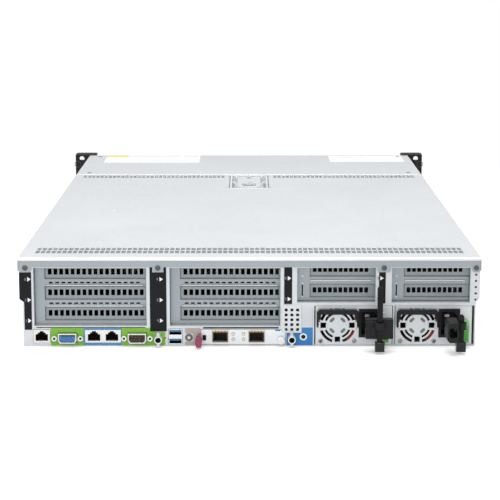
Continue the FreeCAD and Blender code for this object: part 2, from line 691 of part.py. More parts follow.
def riser_cage(name, bay):
    """A sheet cage behind a full height bay: windowed face, roof and one long side."""
    start, end, floor = bays[bay]
    body = new_body(name)
    face_front = cage_rear + S.cage_gauge
    left = start + S.wall_gauge + 0.3
    right = end - S.wall_gauge - 0.3
    low = floor + 0.4
    high = S.bay_top + 3.0
    extrude(body, "XZ", cage_rear, face_front, [rectangle(left, right, low, high)])
    window = full_window_start(bay)
    half = S.slot_window_height / 2
    frames = [rectangle(window, window + S.slot_window_length - 1, z - half, z + half)
              for z in slot_levels]
    extrude(body, "XZ", cage_rear - 0.5, face_front + 0.5, frames, cut=True)
    dash_start = window + 3.6
    dash_half = S.dash_height / 2
    middle = (slot_levels[0] + slot_levels[1]) / 2
    dash = extrude(body, "XZ", cage_rear - 0.5, face_front + 0.5, [
        rectangle(dash_start, dash_start + S.dash_length, middle - dash_half, middle + dash_half)],
        cut=True)
    repeat(body, [dash], "X_Axis", S.dash_pitch, S.dash_count, ("Z_Axis", S.slot_pitch, 2))
    # pressed ribs under the dashes
    for z in slot_levels[:2]:
        rib = z + S.slot_pitch / 2 - 2.2
        extrude(body, "YZ", window + 1, window + S.slot_window_length - 3, [polygon([
            (cage_rear + 0.2, rib - 0.9), (cage_rear - 0.9, rib - 0.4),
            (cage_rear - 0.9, rib + 0.4), (cage_rear + 0.2, rib + 0.9)])])
    # roof and riser side
    extrude(body, "XY", high - S.cage_gauge, high, [
        rectangle(left, right, cage_rear, cage_rear + S.cage_length)])
    extrude(body, "YZ", right - S.cage_gauge, right, [polygon([
        (cage_rear, low), (cage_rear + 30, low), (cage_rear + 42, low + 12),
        (cage_rear + S.cage_length, low + 12), (cage_rear + S.cage_length, high), (cage_rear, high)])])
    # finger opening in the roof
    extrude(body, "XY", high - S.cage_gauge - 0.5, high + 0.5, [
        rectangle(left + 30, left + 70, cage_rear + 110, cage_rear + 128)], cut=True)
    return body


def riser_cage_right():
    """One sheet bracket behind both bays above the power supplies."""
    body = new_body("riser_cage_right")
    face_front = cage_rear + S.cage_gauge
    low = S.small_bay_floor + S.wall_gauge + 0.2
    high = S.bay_top + 3.0
    left = S.third_bay_start + S.wall_gauge + 0.3
    right = S.fourth_bay_end - S.wall_gauge - 0.3
    extrude(body, "XZ", cage_rear, face_front, [rectangle(left, right, low, high)])
    half = S.slot_window_height / 2
    openings = []
    for bay in ("third", "fourth"):
        window = bays[bay][0] + S.small_window_inset
        for i in range(2):
            z = S.small_slot_level + S.slot_pitch * i
            top = z + half
            openings.append(rectangle(window, window + S.small_window_length, z - half, top))
        openings.append(rectangle(window - 8.4, window - 7.2, S.small_slot_level - 5,
                                  S.small_slot_level + 6))
    extrude(body, "XZ", cage_rear - 0.5, face_front + 0.5, openings, cut=True)
    rib = S.small_slot_level + S.slot_pitch / 2
    for bay in ("third", "fourth"):
        window = bays[bay][0] + S.small_window_inset
        extrude(body, "YZ", window, window + S.small_window_length - 4, [polygon([
            (cage_rear + 0.2, rib - 1.1), (cage_rear - 0.9, rib - 0.5),
            (cage_rear - 0.9, rib + 0.5), (cage_rear + 0.2, rib + 1.1)])])
    extrude(body, "XY", high - S.cage_gauge, high, [
        rectangle(left, right, cage_rear, cage_rear + S.cage_length * 0.9)])
    extrude(body, "YZ", left, left + S.cage_gauge, [
        rectangle(cage_rear, cage_rear + S.cage_length * 0.9, low, high)])
    extrude(body, "XY", high - S.cage_gauge - 0.5, high + 0.5, [
        rectangle(left + 60, left + 100, cage_rear + 110, cage_rear + 128)], cut=True)
    return body


def slot_covers():
    """Perforated blanks behind the windows of the cages: six long and four short."""
    body = new_body("slot_covers")
    rear = cage_rear + S.cage_gauge
    front = rear + S.slot_cover_gauge
    half = S.slot_window_height / 2 + 1.4
    plates = []
    for bay in ("left", "middle"):
        window = full_window_start(bay)
        for z in slot_levels:
            plates.append(rectangle(window - 3, bays[bay][1] - S.wall_gauge - S.cage_gauge - 0.6,
                                    z - half, z + half))
    for bay in ("third", "fourth"):
        window = bays[bay][0] + S.small_window_inset
        for i in range(2):
            z = S.small_slot_level + S.slot_pitch * i
            plates.append(rectangle(window - 2, window + S.small_window_length + 0.8,
                                    z - half, z + half * 0.8))
    extrude(body, "XZ", rear, front, plates)
    hole_x = S.slot_hole_width / 2
    hole_z = S.slot_hole_height / 2
    for bay in ("left", "middle"):
        x = full_window_start(bay) + 4.4
        z = slot_levels[0] + 0.4
        hole = extrude(body, "XZ", rear - 0.5, front + 0.5, [
            rectangle(x - hole_x, x + hole_x, z - hole_z, z + hole_z)], cut=True)
        repeat(body, [hole], "X_Axis", S.slot_hole_pitch, S.slot_hole_count,
               ("Z_Axis", S.slot_pitch, 3))
    for bay in ("third", "fourth"):
        x = bays[bay][0] + S.small_window_inset + 4.0
        z = S.small_slot_level + 0.4
        hole = extrude(body, "XZ", rear - 0.5, front + 0.5, [
            rectangle(x - hole_x, x + hole_x, z - hole_z + 0.3, z + hole_z - 0.3)], cut=True)
        repeat(body, [hole], "X_Axis", S.small_hole_pitch, S.small_hole_count,
               ("Z_Axis", S.slot_pitch, 2))
    return body


def riser_boards():
    """Two upright riser cards on the motherboard and one above the supplies."""
    body = new_body("riser_boards")
    start = cage_rear + 46
    end = cage_rear + S.cage_length - 8
    for bay, foot in (("left", start + 30), ("middle", module_front + 14)):
        inside = bays[bay][1] - S.wall_gauge - S.cage_gauge - 0.5
        extrude(body, "YZ", inside - S.board_gauge, inside, [polygon([
            (foot, S.board_top), (end - 40, S.board_top), (end - 40, 16), (end, 16),
            (end, S.bay_top - 1), (start, S.bay_top - 1), (start, 17.5), (foot, 17.5)])])
        for z in slot_levels:
            extrude(body, "YZ", inside - S.board_gauge - 10, inside - S.board_gauge, [
                rectangle(start + 18, end - 12, z - 7, z + 0.6)])
    low = S.small_bay_floor + 6
    inside = S.third_bay_start + S.wall_gauge + S.cage_gauge + 0.5
    extrude(body, "YZ", inside, inside + S.board_gauge, [
        rectangle(start, end - 26, low, S.bay_top - 1)])
    for i in range(2):
        z = S.small_slot_level + S.slot_pitch * i - 2
        extrude(body, "YZ", inside + S.board_gauge, inside + S.board_gauge + 10, [
            rectangle(start + 18, end - 36, z - 4, z + 3.6)])
    return body


# ---------------------------------------------------------------- rear connectors

def dsub_ports():
    """Video and serial connectors, each with its shell, body and two jack screws."""
    body = new_body("dsub_ports")
    for x in (S.vga_x, S.serial_x):
        half = S.dsub_width / 2
        low = S.port_level - S.dsub_height / 2
        high = S.port_level + S.dsub_height / 2
        lean = 1.6
        shell = [(x - half + lean, low), (x + half - lean, low), (x + half, low + lean + 1),
                 (x + half, high), (x - half, high), (x - half, low + lean + 1)]
        extrude(body, "XZ", rear_face - S.dsub_proud, rear_face + 8, [polygon(shell)])
        extrude(body, "XZ", rear_face + 3, rear_face + 12, [
            rectangle(x - 15.4, x + 15.4, S.board_top, high + 1.0)])
        wall = 0.9
        pocket = [(x - half + lean + wall, low + wall), (x + half - lean - wall, low + wall),
                  (x + half - wall, low + lean + 1.4), (x + half - wall, high - wall),
                  (x - half + wall, high - wall), (x - half + wall, low + lean + 1.4)]
        depth = 1.0 if x is S.vga_x else 5.0
        extrude(body, "XZ", rear_face - S.dsub_proud - 0.2, rear_face - S.dsub_proud + depth, [
            polygon(pocket)], cut=True)
        for side in (-1, 1):
            centre = x + side * S.dsub_screw_pitch / 2
            radius = S.jack_screw_radius
            hexagon = [(centre + radius * dx, S.port_level + radius * dz) for dx, dz in (
                (1.0, 0.0), (0.5, 0.866), (-0.5, 0.866), (-1.0, 0.0), (-0.5, -0.866), (0.5, -0.866))]
            extrude(body, "XZ", rear_face - S.dsub_proud + 0.6, rear_face, [polygon(hexagon)])
    # serial pins in two rows
    for count, z in ((5, S.port_level - 1.4), (4, S.port_level + 1.4)):
        x = S.serial_x - 2.77 * (count - 1) / 2
        pin = extrude(body, "XZ", rear_face - S.dsub_proud + 0.8, rear_face - S.dsub_proud + 5.2, [
            rectangle(x - 0.5, x + 0.5, z - 0.5, z + 0.5)])
        repeat(body, [pin], "X_Axis", 2.77, count)
    return body


def lan_opening(x, floor):
    """Outline of a network jack's opening with its stepped keyway above."""
    half = S.lan_opening / 2
    return polygon([
        (x - half, floor + 1.8), (x + half, floor + 1.8), (x + half, floor + 8.4),
        (x + half - 2.2, floor + 8.4), (x + half - 2.2, floor + 10.0), (x + 1.9, floor + 10.0),
        (x + 1.9, floor + 11.4), (x - 1.9, floor + 11.4), (x - 1.9, floor + 10.0),
        (x - half + 2.2, floor + 10.0), (x - half + 2.2, floor + 8.4), (x - half, floor + 8.4)])


def lan_ports():
    body = new_body("lan_ports")
    floor = S.board_top + 0.1
    rear = rear_face - S.lan_proud
    twin_half = (S.twin_lan_pitch + S.lan_width) / 2 + 0.6
    shells = [
        rectangle(S.management_lan_x - S.lan_width / 2, S.management_lan_x + S.lan_width / 2,
                  floor, floor + S.lan_height),
        rectangle(S.twin_lan_x - twin_half, S.twin_lan_x + twin_half, floor, floor + S.lan_height)]
    extrude(body, "XZ", rear, rear + S.lan_depth, shells)
    openings = [lan_opening(x, floor) for x in (
        S.management_lan_x, S.twin_lan_x - S.twin_lan_pitch / 2, S.twin_lan_x + S.twin_lan_pitch / 2)]
    extrude(body, "XZ", rear - 0.2, rear + S.lan_depth - 6, openings, cut=True)
    return body


def usb_ports():
    body = new_body("usb_ports")
    floor = S.board_top - S.board_gauge
    rear = rear_face - S.lan_proud
    extrude(body, "XZ", rear, rear + 18, [
        rectangle(S.usb_x - S.usb_width / 2, S.usb_x + S.usb_width / 2, floor, floor + S.usb_height)])
    half = S.usb_opening_width / 2
    slots = [rectangle(S.usb_x - half, S.usb_x + half, z, z + S.usb_opening_height)
             for z in (floor + 0.9, floor + S.usb_height - S.usb_opening_height - 0.9)]
    extrude(body, "XZ", rear - 0.2, rear + 12, slots, cut=True)
    tongues = [rectangle(S.usb_x - half + 0.8, S.usb_x + half - 0.8, z, z + 1.0)
               for z in (floor + 3.6, floor + S.usb_height - S.usb_opening_height + 1.8)]
    extrude(body, "XZ", rear + 0.8, rear + 12.2, tongues)
    # solder wings on the board, beside its notch
    wing = half + 3.0
    for low, high in ((S.usb_x - wing, S.usb_x - half), (S.usb_x + half, S.usb_x + wing)):
        block(body, low, high, rear + 9, rear + 16, S.board_top, S.board_top + 0.8)
    return body


def rear_button(name, x, level, radius, proud):
    """A round push button on the rear panel: cap, and a flange that keeps it in."""
    body = new_body(name, (x, rear_face, level))
    reach = S.wall_gauge + S.button_travel + 0.8
    turn(body, "Y_Axis", [polygon([
        (-as_size(proud), 0), (-as_size(proud), radius), (S.wall_gauge + 0.3, radius),
        (S.wall_gauge + 0.3, radius + 0.9), (reach, radius + 0.9), (reach, 0)])])
    return body


# ---------------------------------------------------------------- network module

def module_cage_centres():
    return (S.cage_first_x, S.cage_first_x + S.cage_pitch)


def ocp_module():
    """Face bracket, board and two cages of the network module."""
    body = new_body("ocp_module")
    face = rear_face + S.wall_gauge
    extrude(body, "XZ", rear_face, face, [
        rectangle(S.module_start, S.module_end, S.module_floor, S.module_top)])
    extrude(body, "XY", S.module_floor + 0.3, S.module_floor + 0.3 + S.board_gauge, [
        rectangle(S.module_start + 1, S.module_end - 6, rear_face + 0.6, module_front)])
    half_x = S.cage_width / 2
    low = S.cage_level - S.cage_height / 2
    high = S.cage_level + S.cage_height / 2
    rear = rear_face - 1.4
    shells = [rectangle(x - half_x, x + half_x, low, high) for x in module_cage_centres()]
    extrude(body, "XZ", rear, rear + S.cage_depth, shells)
    wall = 0.9
    mouths = [rectangle(x - half_x + wall, x + half_x - wall, low + wall + 0.4, high - wall - 0.8)
              for x in module_cage_centres()]
    extrude(body, "XZ", rear - 0.2, rear + S.cage_depth - 4, mouths, cut=True)
    extrude(body, "XZ", rear_face - 0.2, face + 0.2, [
        circle(S.thumbscrew_x, S.thumbscrew_level, S.thumbscrew_shank + 0.25),
        rectangle(S.module_start + 1.2, S.module_start + 4.8, 5.2, 10.8)], cut=True)
    extrude(body, "XY", S.module_floor + S.board_gauge, S.module_floor + 9, [
        rectangle(S.module_start + 8, S.module_start + 50, rear_face + 60, rear_face + 96)])
    return body


def ocp_pull_tab():
    """Faceted finger tab at the module's left end."""
    body = new_body("ocp_pull_tab")
    right = S.module_start + 1.0
    left = right - S.tab_width
    low = S.module_floor + 0.2
    high = low + S.tab_height
    rear = rear_face - S.tab_length
    extrude(body, "XZ", rear, rear_face, [polygon([
        (left + 1.6, low), (right - 1.0, low), (right, low + 5), (right - 1.0, high - 1.2),
        (right - 2.4, high), (left + 1.2, high - 3.2), (left, low + 4)])])
    extrude(body, "XY", low + 1.0, high + 1, [polygon([
        (left - 1, rear + 5), (left + 2.2, rear + 5), (left + 2.2, rear_face - 1.5),
        (left - 1, rear_face - 1.5)])], cut=True)
    return body


def ocp_thumbscrew():
    body = new_body("ocp_thumbscrew", (S.thumbscrew_x, rear_face, S.thumbscrew_level))
    head = S.thumbscrew_head
    radius = S.thumbscrew_radius
    turn(body, "Y_Axis", [polygon([
        (-head, 0), (-head, radius), (-0.3, radius), (-0.3, S.thumbscrew_shank),
        (9.5, S.thumbscrew_shank), (9.5, 0)])])
    extrude(body, "XZ", -head - 0.2, -head + 1.2, [
        rectangle(-radius * 0.55, radius * 0.55, -0.5, 0.5)], cut=True)
    return body


# ---------------------------------------------------------------- power supplies

def arc_slot(inner, outer, first, last):
    """A ring sector about the sketch's origin between two angles in degrees."""
    def draw(edges, rules):
        start = len(edges)
        sizes = (as_size(inner), as_size(outer))
        a0, a1 = radians(first), radians(last)
        for i, size in enumerate(sizes):
            ring = Part.Circle(Vector(0, 0, 0), Vector(0, 0, 1), size.value)
            edges.append(Part.ArcOfCircle(ring, a0, a1))
            rules.append((("Coincident", start + i, 3, -1, 1), None))
            rules.append((("Radius", start + i), size))
        for i, angle in enumerate((a0, a1)):
            ends = [Vector(size.value * cos(angle), size.value * sin(angle), 0) for size in sizes]
            edges.append(Part.LineSegment(*ends))
            line = start + 2 + i
            rules.append((("Coincident", line, 1, start, i + 1), None))
            rules.append((("Coincident", line, 2, start + 1, i + 1), None))
            rules.append((("Angle", line, angle), None))
    return draw


psu_left = -S.guard_inset
psu_right = S.psu_width - S.guard_inset
psu_low = -S.guard_level
psu_high = S.psu_height - S.guard_level
inlet_middle = S.inlet_level
inlet_left = S.inlet_x - S.inlet_width / 2
inlet_right = S.inlet_x + S.inlet_width / 2


def psu_axis_x(number):
    return psu_first_axis + S.psu_pitch * (number - 1)


def psu_body(name, number):
    """A body whose origin is the supply's fan axis at the rear face."""
    return new_body(name, (psu_axis_x(number), rear_face, psu_axis_level))


def psu_case(number):
    body = psu_body(f"psu_{number}_case", number)
    wall = S.psu_wall
    extrude(body, "XZ", 0, S.psu_length, [rectangle(psu_left, psu_right, psu_low, psu_high)])
    extrude(body, "XZ", wall, S.psu_length - wall, [
        rectangle(psu_left + wall, psu_right - wall, psu_low + wall, psu_high - wall)], cut=True)
    # fan guard: four quarters of two ring slots, square notches between them
    quarter = extrude(body, "XZ", -0.5, wall + 0.5, [
        arc_slot(S.guard_hub, S.guard_inner, 22, 68),
        arc_slot(S.guard_middle, S.guard_outer, 18, 72),
        rectangle(S.guard_hub, S.guard_hub + S.guard_notch, -S.guard_notch / 2, S.guard_notch / 2)],
        cut=True)
    ring_of(body, [quarter], "Y_Axis", 4)
    oval = 1.5
    slots = [polygon([(a * 5.2 - b * oval, c * 5.2 + d * oval), (a * 7.6 - b * oval, c * 7.6 + d * oval),
                      (a * 7.6 + b * oval, c * 7.6 - d * oval), (a * 5.2 + b * oval, c * 5.2 - d * oval)])
             for a, b, c, d in ((0.707, 0.707, 0.707, 0.707), (-0.707, -0.707, 0.707, 0.707),
                                (0.707, 0.707, -0.707, -0.707), (-0.707, -0.707, -0.707, -0.707))]
    extrude(body, "XZ", -0.5, wall + 0.5, slots, cut=True)
    # openings for the inlet and the latch stem, and air holes at the far end
    extrude(body, "XZ", -0.5, wall + 0.5, [
        rectangle(inlet_left, inlet_right, inlet_middle - S.inlet_height / 2,
                  inlet_middle + S.inlet_height / 2)], cut=True)
    extrude(body, "XZ", -0.5, wall + 0.5, [
        rectangle(S.latch_x + 2.0 - S.latch_travel, S.latch_x + S.latch_tab_width - 1.0, -9, -2)], cut=True)
    grille = extrude(body, "XZ", S.psu_length - wall - 0.5, S.psu_length + 0.5, [
        rectangle(psu_left + 6, psu_left + 9, psu_low + 8, psu_high - 8)], cut=True)
    repeat(body, [grille], "X_Axis", 7, 8)
    # lugs for the bail handle
    lug = S.bail_half_width - S.bail_leg - 0.4
    for side in (-1, 1):
        low, high = sorted((side * lug, side * (lug - 1.2)), key=lambda size: size.value)
        extrude(body, "YZ", low, high, [polygon([
            (as_size(0.2), as_size(-3.6)), (-S.bail_standoff - S.bail_depth, as_size(-1.6)),
            (-S.bail_standoff - S.bail_depth, as_size(4.2)), (as_size(0.2), as_size(6.3))])])
    bore = circle(-S.bail_standoff - S.bail_depth / 2, S.bail_pivot_level,
                  S.bail_pin_radius + S.pin_clearance)
    extrude(body, "YZ", -lug - 1, lug + 1, [bore], cut=True)
    # anchor arm of the cord strap
    arm = 2.2
    anchor_top = S.anchor_floor + S.anchor_height
    eye_x = S.strap_width / 2 + S.strap_clearance
    eye_y = (S.strap_gauge + S.strap_rib) / 2 + S.strap_clearance
    block(body, S.strap_x - arm, S.strap_x + arm, -S.strap_standoff, 0.5,
          S.anchor_floor + 0.4, S.anchor_floor + 2.8)
    block(body, S.strap_x - eye_x - 1.6, S.strap_x + eye_x + 1.6, -S.strap_standoff - eye_y - 1.6,
          -S.strap_standoff + eye_y + 1.6, S.anchor_floor, anchor_top)
    extrude(body, "XY", S.anchor_floor - 0.5, anchor_top + 0.5, [
        rectangle(S.strap_x - eye_x, S.strap_x + eye_x,
                  -S.strap_standoff - eye_y, -S.strap_standoff + eye_y)], cut=True)
    # edge connector at the far end
    block(body, psu_left + 14, psu_right - 14, S.psu_length - 0.5, S.psu_length + 8, -9.0, -7.4)
    return body


def psu_inlet(number):
    """Mains inlet: flanged socket with three blades."""
    body = psu_body(f"psu_{number}_inlet", number)
    low = inlet_middle - S.inlet_height / 2
    high = inlet_middle + S.inlet_height / 2
    gap = 0.05
    extrude(body, "XZ", -S.inlet_proud, S.inlet_socket_depth + 3, [
        rectangle(inlet_left + gap, inlet_right - gap, low + gap, high - gap)])
    half_x = S.inlet_socket_width / 2
    half_z = S.inlet_socket_height / 2
    x = S.inlet_x
    corner = 4.0
    cavity = [(x - half_x, inlet_middle - half_z), (x + half_x - corner, inlet_middle - half_z),
              (x + half_x, inlet_middle - half_z + corner), (x + half_x, inlet_middle + half_z - corner),
              (x + half_x - corner, inlet_middle + half_z), (x - half_x, inlet_middle + half_z)]
    rear = -S.inlet_proud
    extrude(body, "XZ", rear - 0.2, rear + S.inlet_socket_depth, [polygon(cavity)], cut=True)
    blades = [rectangle(bx - 2.0, bx + 2.0, bz - 1.0, bz + 1.0) for bx, bz in (
        (x - 2.0, inlet_middle - 7), (x + 2.0, inlet_middle), (x - 2.0, inlet_middle + 7))]
    extrude(body, "XZ", rear + 3, rear + S.inlet_socket_depth + 0.2, blades)
    return body


def fan_rotor(body, radius, hub, depth, start, blades):
    """A hub and tilted flat blades about the body's Y axis."""
    extrude(body, "XZ", start, start + depth, [circle(0, 0, hub)])
    first = start + 1.5
    last = start + depth - 1.5
    lean = hub * 0.42
    edge = hub * 0.09
    blade = extrude(body, "XY", hub * 0.8, radius * 0.93, [polygon([
        (-lean - edge, first), (-lean + edge, first), (lean + edge, last), (lean - edge, last)])])
    ring_of(body, [blade], "Y_Axis", blades)


def psu_rotor(number):
    body = psu_body(f"psu_{number}_fan", number)
    fan_rotor(body, S.rotor_radius, S.rotor_radius * 0.5, S.rotor_depth, S.psu_wall + 2, 7)
    return body


def psu_handle(number):
    """Folding bail: a bar, two legs that narrow to ears, and pins into the lugs."""
    body = psu_body(f"psu_{number}_handle", number)
    outer = S.bail_half_width
    top = S.bail_height
    inner_top = top - S.bail_band
    shoulder = as_size(6.8)
    neck = outer - S.bail_leg
    inside = outer - S.bail_shoulder
    foot = S.bail_pivot_level - 2.2
    cut = 2.6
    right = [(outer, foot), (outer, top - cut), (outer - cut, top)]
    inner = [(inside, inner_top), (inside, shoulder), (neck, shoulder), (neck, foot)]
    outline = right + [(-x, z) for x, z in reversed(right)]
    outline += [(-x, z) for x, z in reversed(inner)] + inner
    near_side = -S.bail_standoff - S.bail_depth
    extrude(body, "XZ", near_side, -S.bail_standoff, [polygon(outline)])
    pin = circle(near_side + S.bail_depth / 2, S.bail_pivot_level, S.bail_pin_radius)
    lug = neck - 0.4
    for side in (-1, 1):
        low, high = sorted((side * (lug - 1.2), side * (neck + 0.2)), key=lambda size: size.value)
        extrude(body, "YZ", low, high, [pin])
    return body


def psu_latch(number):
    body = psu_body(f"psu_{number}_latch", number)
    start = S.latch_x
    end = S.latch_x + S.latch_tab_width
    low, high = S.latch_tab_floor, S.latch_tab_top
    rear = -S.latch_tab_depth - 1.8
    extrude(body, "YZ", start, end, [polygon([
        (as_size(-1.8), low), (rear + 2, low), (rear, low + 3), (rear, high - 4),
        (rear + 3, high), (as_size(-1.8), high)])])
    block(body, start + 2.4, end - 1.6, -2.0, 8.0, -8.6, -2.4)
    notch = extrude(body, "XY", low + 3, low + 3.8, [
        rectangle(start - 0.5, start + 0.7, rear - 0.5, -3.0)], cut=True)
    repeat(body, [notch], "Z_Axis", 2.4, 6)
    return body


strap_rest = {1: (S.anchor_floor + 6.2, as_size(56.6)), 2: (S.anchor_floor + 0.6, as_size(35.0))}


def psu_strap(number):
    """Ribbed ratchet strap that stands in the anchor's eye and passes through the clamp."""
    body = psu_body(f"psu_{number}_strap", number)
    low, length = strap_rest[number]
    high = low + length
    half = S.strap_width / 2
    x = S.strap_x
    back = -S.strap_standoff + (S.strap_gauge + S.strap_rib) / 2
    tip = half * 0.6
    extrude(body, "XZ", back - S.strap_gauge, back, [polygon([
        (x - half, low), (x + half, low), (x + half, high - tip), (x + half - tip, high),
        (x - half + tip, high), (x - half, high - tip)])])
    rib = extrude(body, "XZ", back - S.strap_gauge - S.strap_rib, back - S.strap_gauge, [
        rectangle(x - half, x + half, low + 0.8, low + 2.0)])
    repeat(body, [rib], "Z_Axis", S.strap_rib_pitch, int(length.value / 2.4) - 1)
    return body


def psu_clamp(number):
    """Cord clamp: a sleeve for the cord and a round eye that swivels on the strap."""
    body = new_body(f"psu_{number}_clamp", (
        psu_axis_x(number) + S.strap_x, rear_face - S.strap_standoff,
        psu_axis_level + S.clamp_floor))
    eye_outer = S.clamp_eye + S.clamp_eye_wall
    right = -S.clamp_eye + 0.3
    left = right - S.clamp_width
    height = S.clamp_height
    half = S.clamp_depth / 2
    corner = 2.0
    extrude(body, "XZ", -half, half, [polygon([
        (left + corner, 0), (right, 0), (right, height), (left + corner, height),
        (left, height - corner), (left, corner)])])
    extrude(body, "XY", height * 0.55, height * 0.9, [circle(0, 0, eye_outer)])
    extrude(body, "XY", -0.5, height + 0.5, [circle(0, 0, S.clamp_eye)], cut=True)
    middle = (left + right) / 2
    bore_x = S.clamp_bore_width / 2
    bore_z = S.clamp_bore_height / 2
    extrude(body, "XZ", -half - 0.5, half + 0.5, [polygon([
        (middle - bore_x + 1.6, height / 2 - bore_z), (middle + bore_x - 1.6, height / 2 - bore_z),
        (middle + bore_x, height / 2 - bore_z + 1.6), (middle + bore_x, height / 2 + bore_z - 1.6),
        (middle + bore_x - 1.6, height / 2 + bore_z), (middle - bore_x + 1.6, height / 2 + bore_z),
        (middle - bore_x, height / 2 + bore_z - 1.6), (middle - bore_x, height / 2 - bore_z + 1.6)])],
        cut=True)
    if number == 1:
        # the first clamp is stored turned across the supply
        body.Placement = Placement(body.Placement.Base, Rotation(Vector(0, 0, 1), -90))
        for axis, coordinate in zip("xyz", (
                psu_axis_x(number) + S.strap_x, rear_face - S.strap_standoff,
                psu_axis_level + S.clamp_floor)):
            bind(body, f"Placement.Base.{axis}", coordinate)
    return body


def psu_cage():
    """Shelf over the supplies, left wall and the double divider between them."""
    body = new_body("psu_cage")
    gauge = S.wall_gauge
    front = rear_face + S.psu_length + 14
    left = S.psu_start - 1.0 - gauge
    right = lower_half - gauge
    extrude(body, "XZ", panel_front, front, [polygon([
        (left, floor_top), (left + gauge, floor_top), (left + gauge, shelf_level),
        (right, shelf_level), (right, shelf_level + gauge), (left, shelf_level + gauge)])])
    divider = (S.psu_start + S.psu_width + S.psu_start + S.psu_pitch) / 2
    extrude(body, "XZ", rear_face, panel_front + 0.2, [
        rectangle(divider - 0.9, divider + 0.9, floor_top, psu_top + 0.3)])
    extrude(body, "XZ", panel_front, front, [
        rectangle(divider - 0.9, divider + 0.9, floor_top, shelf_level + 0.2)])
    extrude(body, "XZ", front - 1.6, front, [
        rectangle(left, right, floor_top, shelf_level + gauge)])
    extrude(body, "XZ", front - 3, front + 1, [
        rectangle(x + psu_left + 12, x + psu_right - 12, psu_axis_level - 11, psu_axis_level - 5.4)
        for x in (psu_axis_x(1), psu_axis_x(2))] + [
        rectangle(x + psu_left + 6, x + psu_right - 8, psu_axis_level - 1, psu_axis_level + 14)
        for x in (psu_axis_x(1), psu_axis_x(2))], cut=True)
    return body


# ---------------------------------------------------------------- board, cooling

def motherboard():
    body = new_body("motherboard")
    side = lower_half - S.wall_gauge - S.board_side_gap
    low = S.board_top - S.board_gauge
    notch = S.usb_width / 2 + 0.5
    notch_end = rear_face - S.lan_proud + 18.5
    extrude(body, "XY", low, S.board_top, [polygon([
        (-side, panel_front + 4), (S.usb_x - notch, panel_front + 4), (S.usb_x - notch, notch_end),
        (S.usb_x + notch, notch_end), (S.usb_x + notch, panel_front + 4),
        (S.module_start - 4, panel_front + 4),
        (S.module_start - 4, module_front + 12), (S.psu_start - 6, module_front + 12),
        (S.psu_start - 6, S.board_notch), (side, S.board_notch), (side, S.board_end),
        (-side, S.board_end)])])
    return body


def cpu_heatsinks():
    body = new_body("cpu_heatsinks")
    half = S.sink_width / 2
    y0 = S.sink_y - S.sink_length / 2
    y1 = S.sink_y + S.sink_length / 2
    top = S.board_top + S.sink_height
    base_top = S.board_top + S.sink_base
    for side in (-1, 1):
        x = side * S.sink_x
        block(body, x - half, x + half, y0 + 6, y1 - 6, S.board_top, base_top)
        fins = block(body, x - half, x - half + S.fin_gauge, y0, y1, base_top - 1, top)
        pitch = (S.sink_width - S.fin_gauge) / (S.fin_count - 1)
        repeat(body, [fins], "X_Axis", pitch, S.fin_count)
    return body


def memory_groups():
    """Left edge of each group of modules, outside and inside each processor."""
    span = S.memory_pitch * (S.memory_count - 1)
    clear = S.sink_width / 2 + 7
    return (-S.sink_x - clear - span, -S.sink_x + clear, S.sink_x - clear - span, S.sink_x + clear)


def memory_modules():
    body = new_body("memory_modules")
    y0 = S.sink_y - S.memory_length / 2
    y1 = S.sink_y + S.memory_length / 2
    low = S.board_top
    span = S.memory_pitch * (S.memory_count - 1)
    half = S.memory_gauge / 2
    for x in memory_groups():
        block(body, x - 2.6, x + span + 2.6, y0 - 4, y1 + 4, low, low + S.memory_seat)
        card = block(body, x - half, x + half, y0, y1,
                     low + S.memory_seat - 1, low + S.memory_seat + S.memory_height)
        repeat(body, [card], "X_Axis", S.memory_pitch, S.memory_count)
    return body


def air_duct():
    """Open ended hood that leads the fans' air over the processors and the memory."""
    body = new_body("air_duct")
    side = lower_half - S.wall_gauge - 1.4
    front = S.fan_y - S.fan_depth / 2 - 3
    gauge = S.duct_gauge
    rear_roof = S.duct_rear_top
    front_roof = S.duct_front_top
    bend_a = S.sink_y + 36
    bend_b = S.board_end - 6
    extrude(body, "YZ", -side, side, [polygon([
        (S.duct_start, rear_roof - gauge), (bend_a, rear_roof - gauge),
        (bend_b, front_roof - gauge), (front, front_roof - gauge), (front, front_roof),
        (bend_b - 0.6, front_roof), (bend_a - 0.6, rear_roof), (S.duct_start, rear_roof)])])
    walls = [-side, -gauge / 2, side - gauge]
    for x in walls:
        extrude(body, "YZ", x, x + gauge, [polygon([
            (S.duct_start, S.board_top), (S.board_end - 4, S.board_top),
            (S.board_end - 4, as_size(9)), (front, as_size(9)), (front, front_roof - 0.4),
            (bend_b, front_roof - 0.4), (bend_a, rear_roof - 0.4), (S.duct_start, rear_roof - 0.4)])])
    return body


def fan_centres():
    return [S.fan_pitch * (i - 1.5) for i in range(4)]


def fan_cage():
    """Four fan frames joined by a floor strip, each with a motor plate on three arms."""
    body = new_body("fan_cage")
    y0 = S.fan_y - S.fan_depth / 2
    y1 = S.fan_y + S.fan_depth / 2
    half = S.fan_size / 2
    low = S.fan_level - half
    frames = [rectangle(x - half, x + half, low, low + S.fan_size) for x in fan_centres()]
    extrude(body, "XZ", y0, y1, frames)
    bores = [round_polygon(x, S.fan_level, S.fan_bore, 24) for x in fan_centres()]
    extrude(body, "XZ", y0 - 0.5, y1 + 0.5, bores, cut=True)
    side = lower_half - S.wall_gauge - 0.5
    block(body, -side, side, y0, y1, floor_top, low + 0.4)
    reach = S.fan_bore + 0.5
    arm = 1.6
    middle = S.fan_level
    extrude(body, "XZ", y0, y0 + 3, [
        round_polygon(x, middle, S.fan_hub_radius - 1, 14) for x in fan_centres()])
    extrude(body, "XZ", y0, y0 + 3, [
        rectangle(x - reach, x + reach, middle - arm, middle + arm) for x in fan_centres()])
    extrude(body, "XZ", y0, y0 + 3, [
        rectangle(x - arm, x + arm, middle - reach, middle + reach) for x in fan_centres()])
    return body


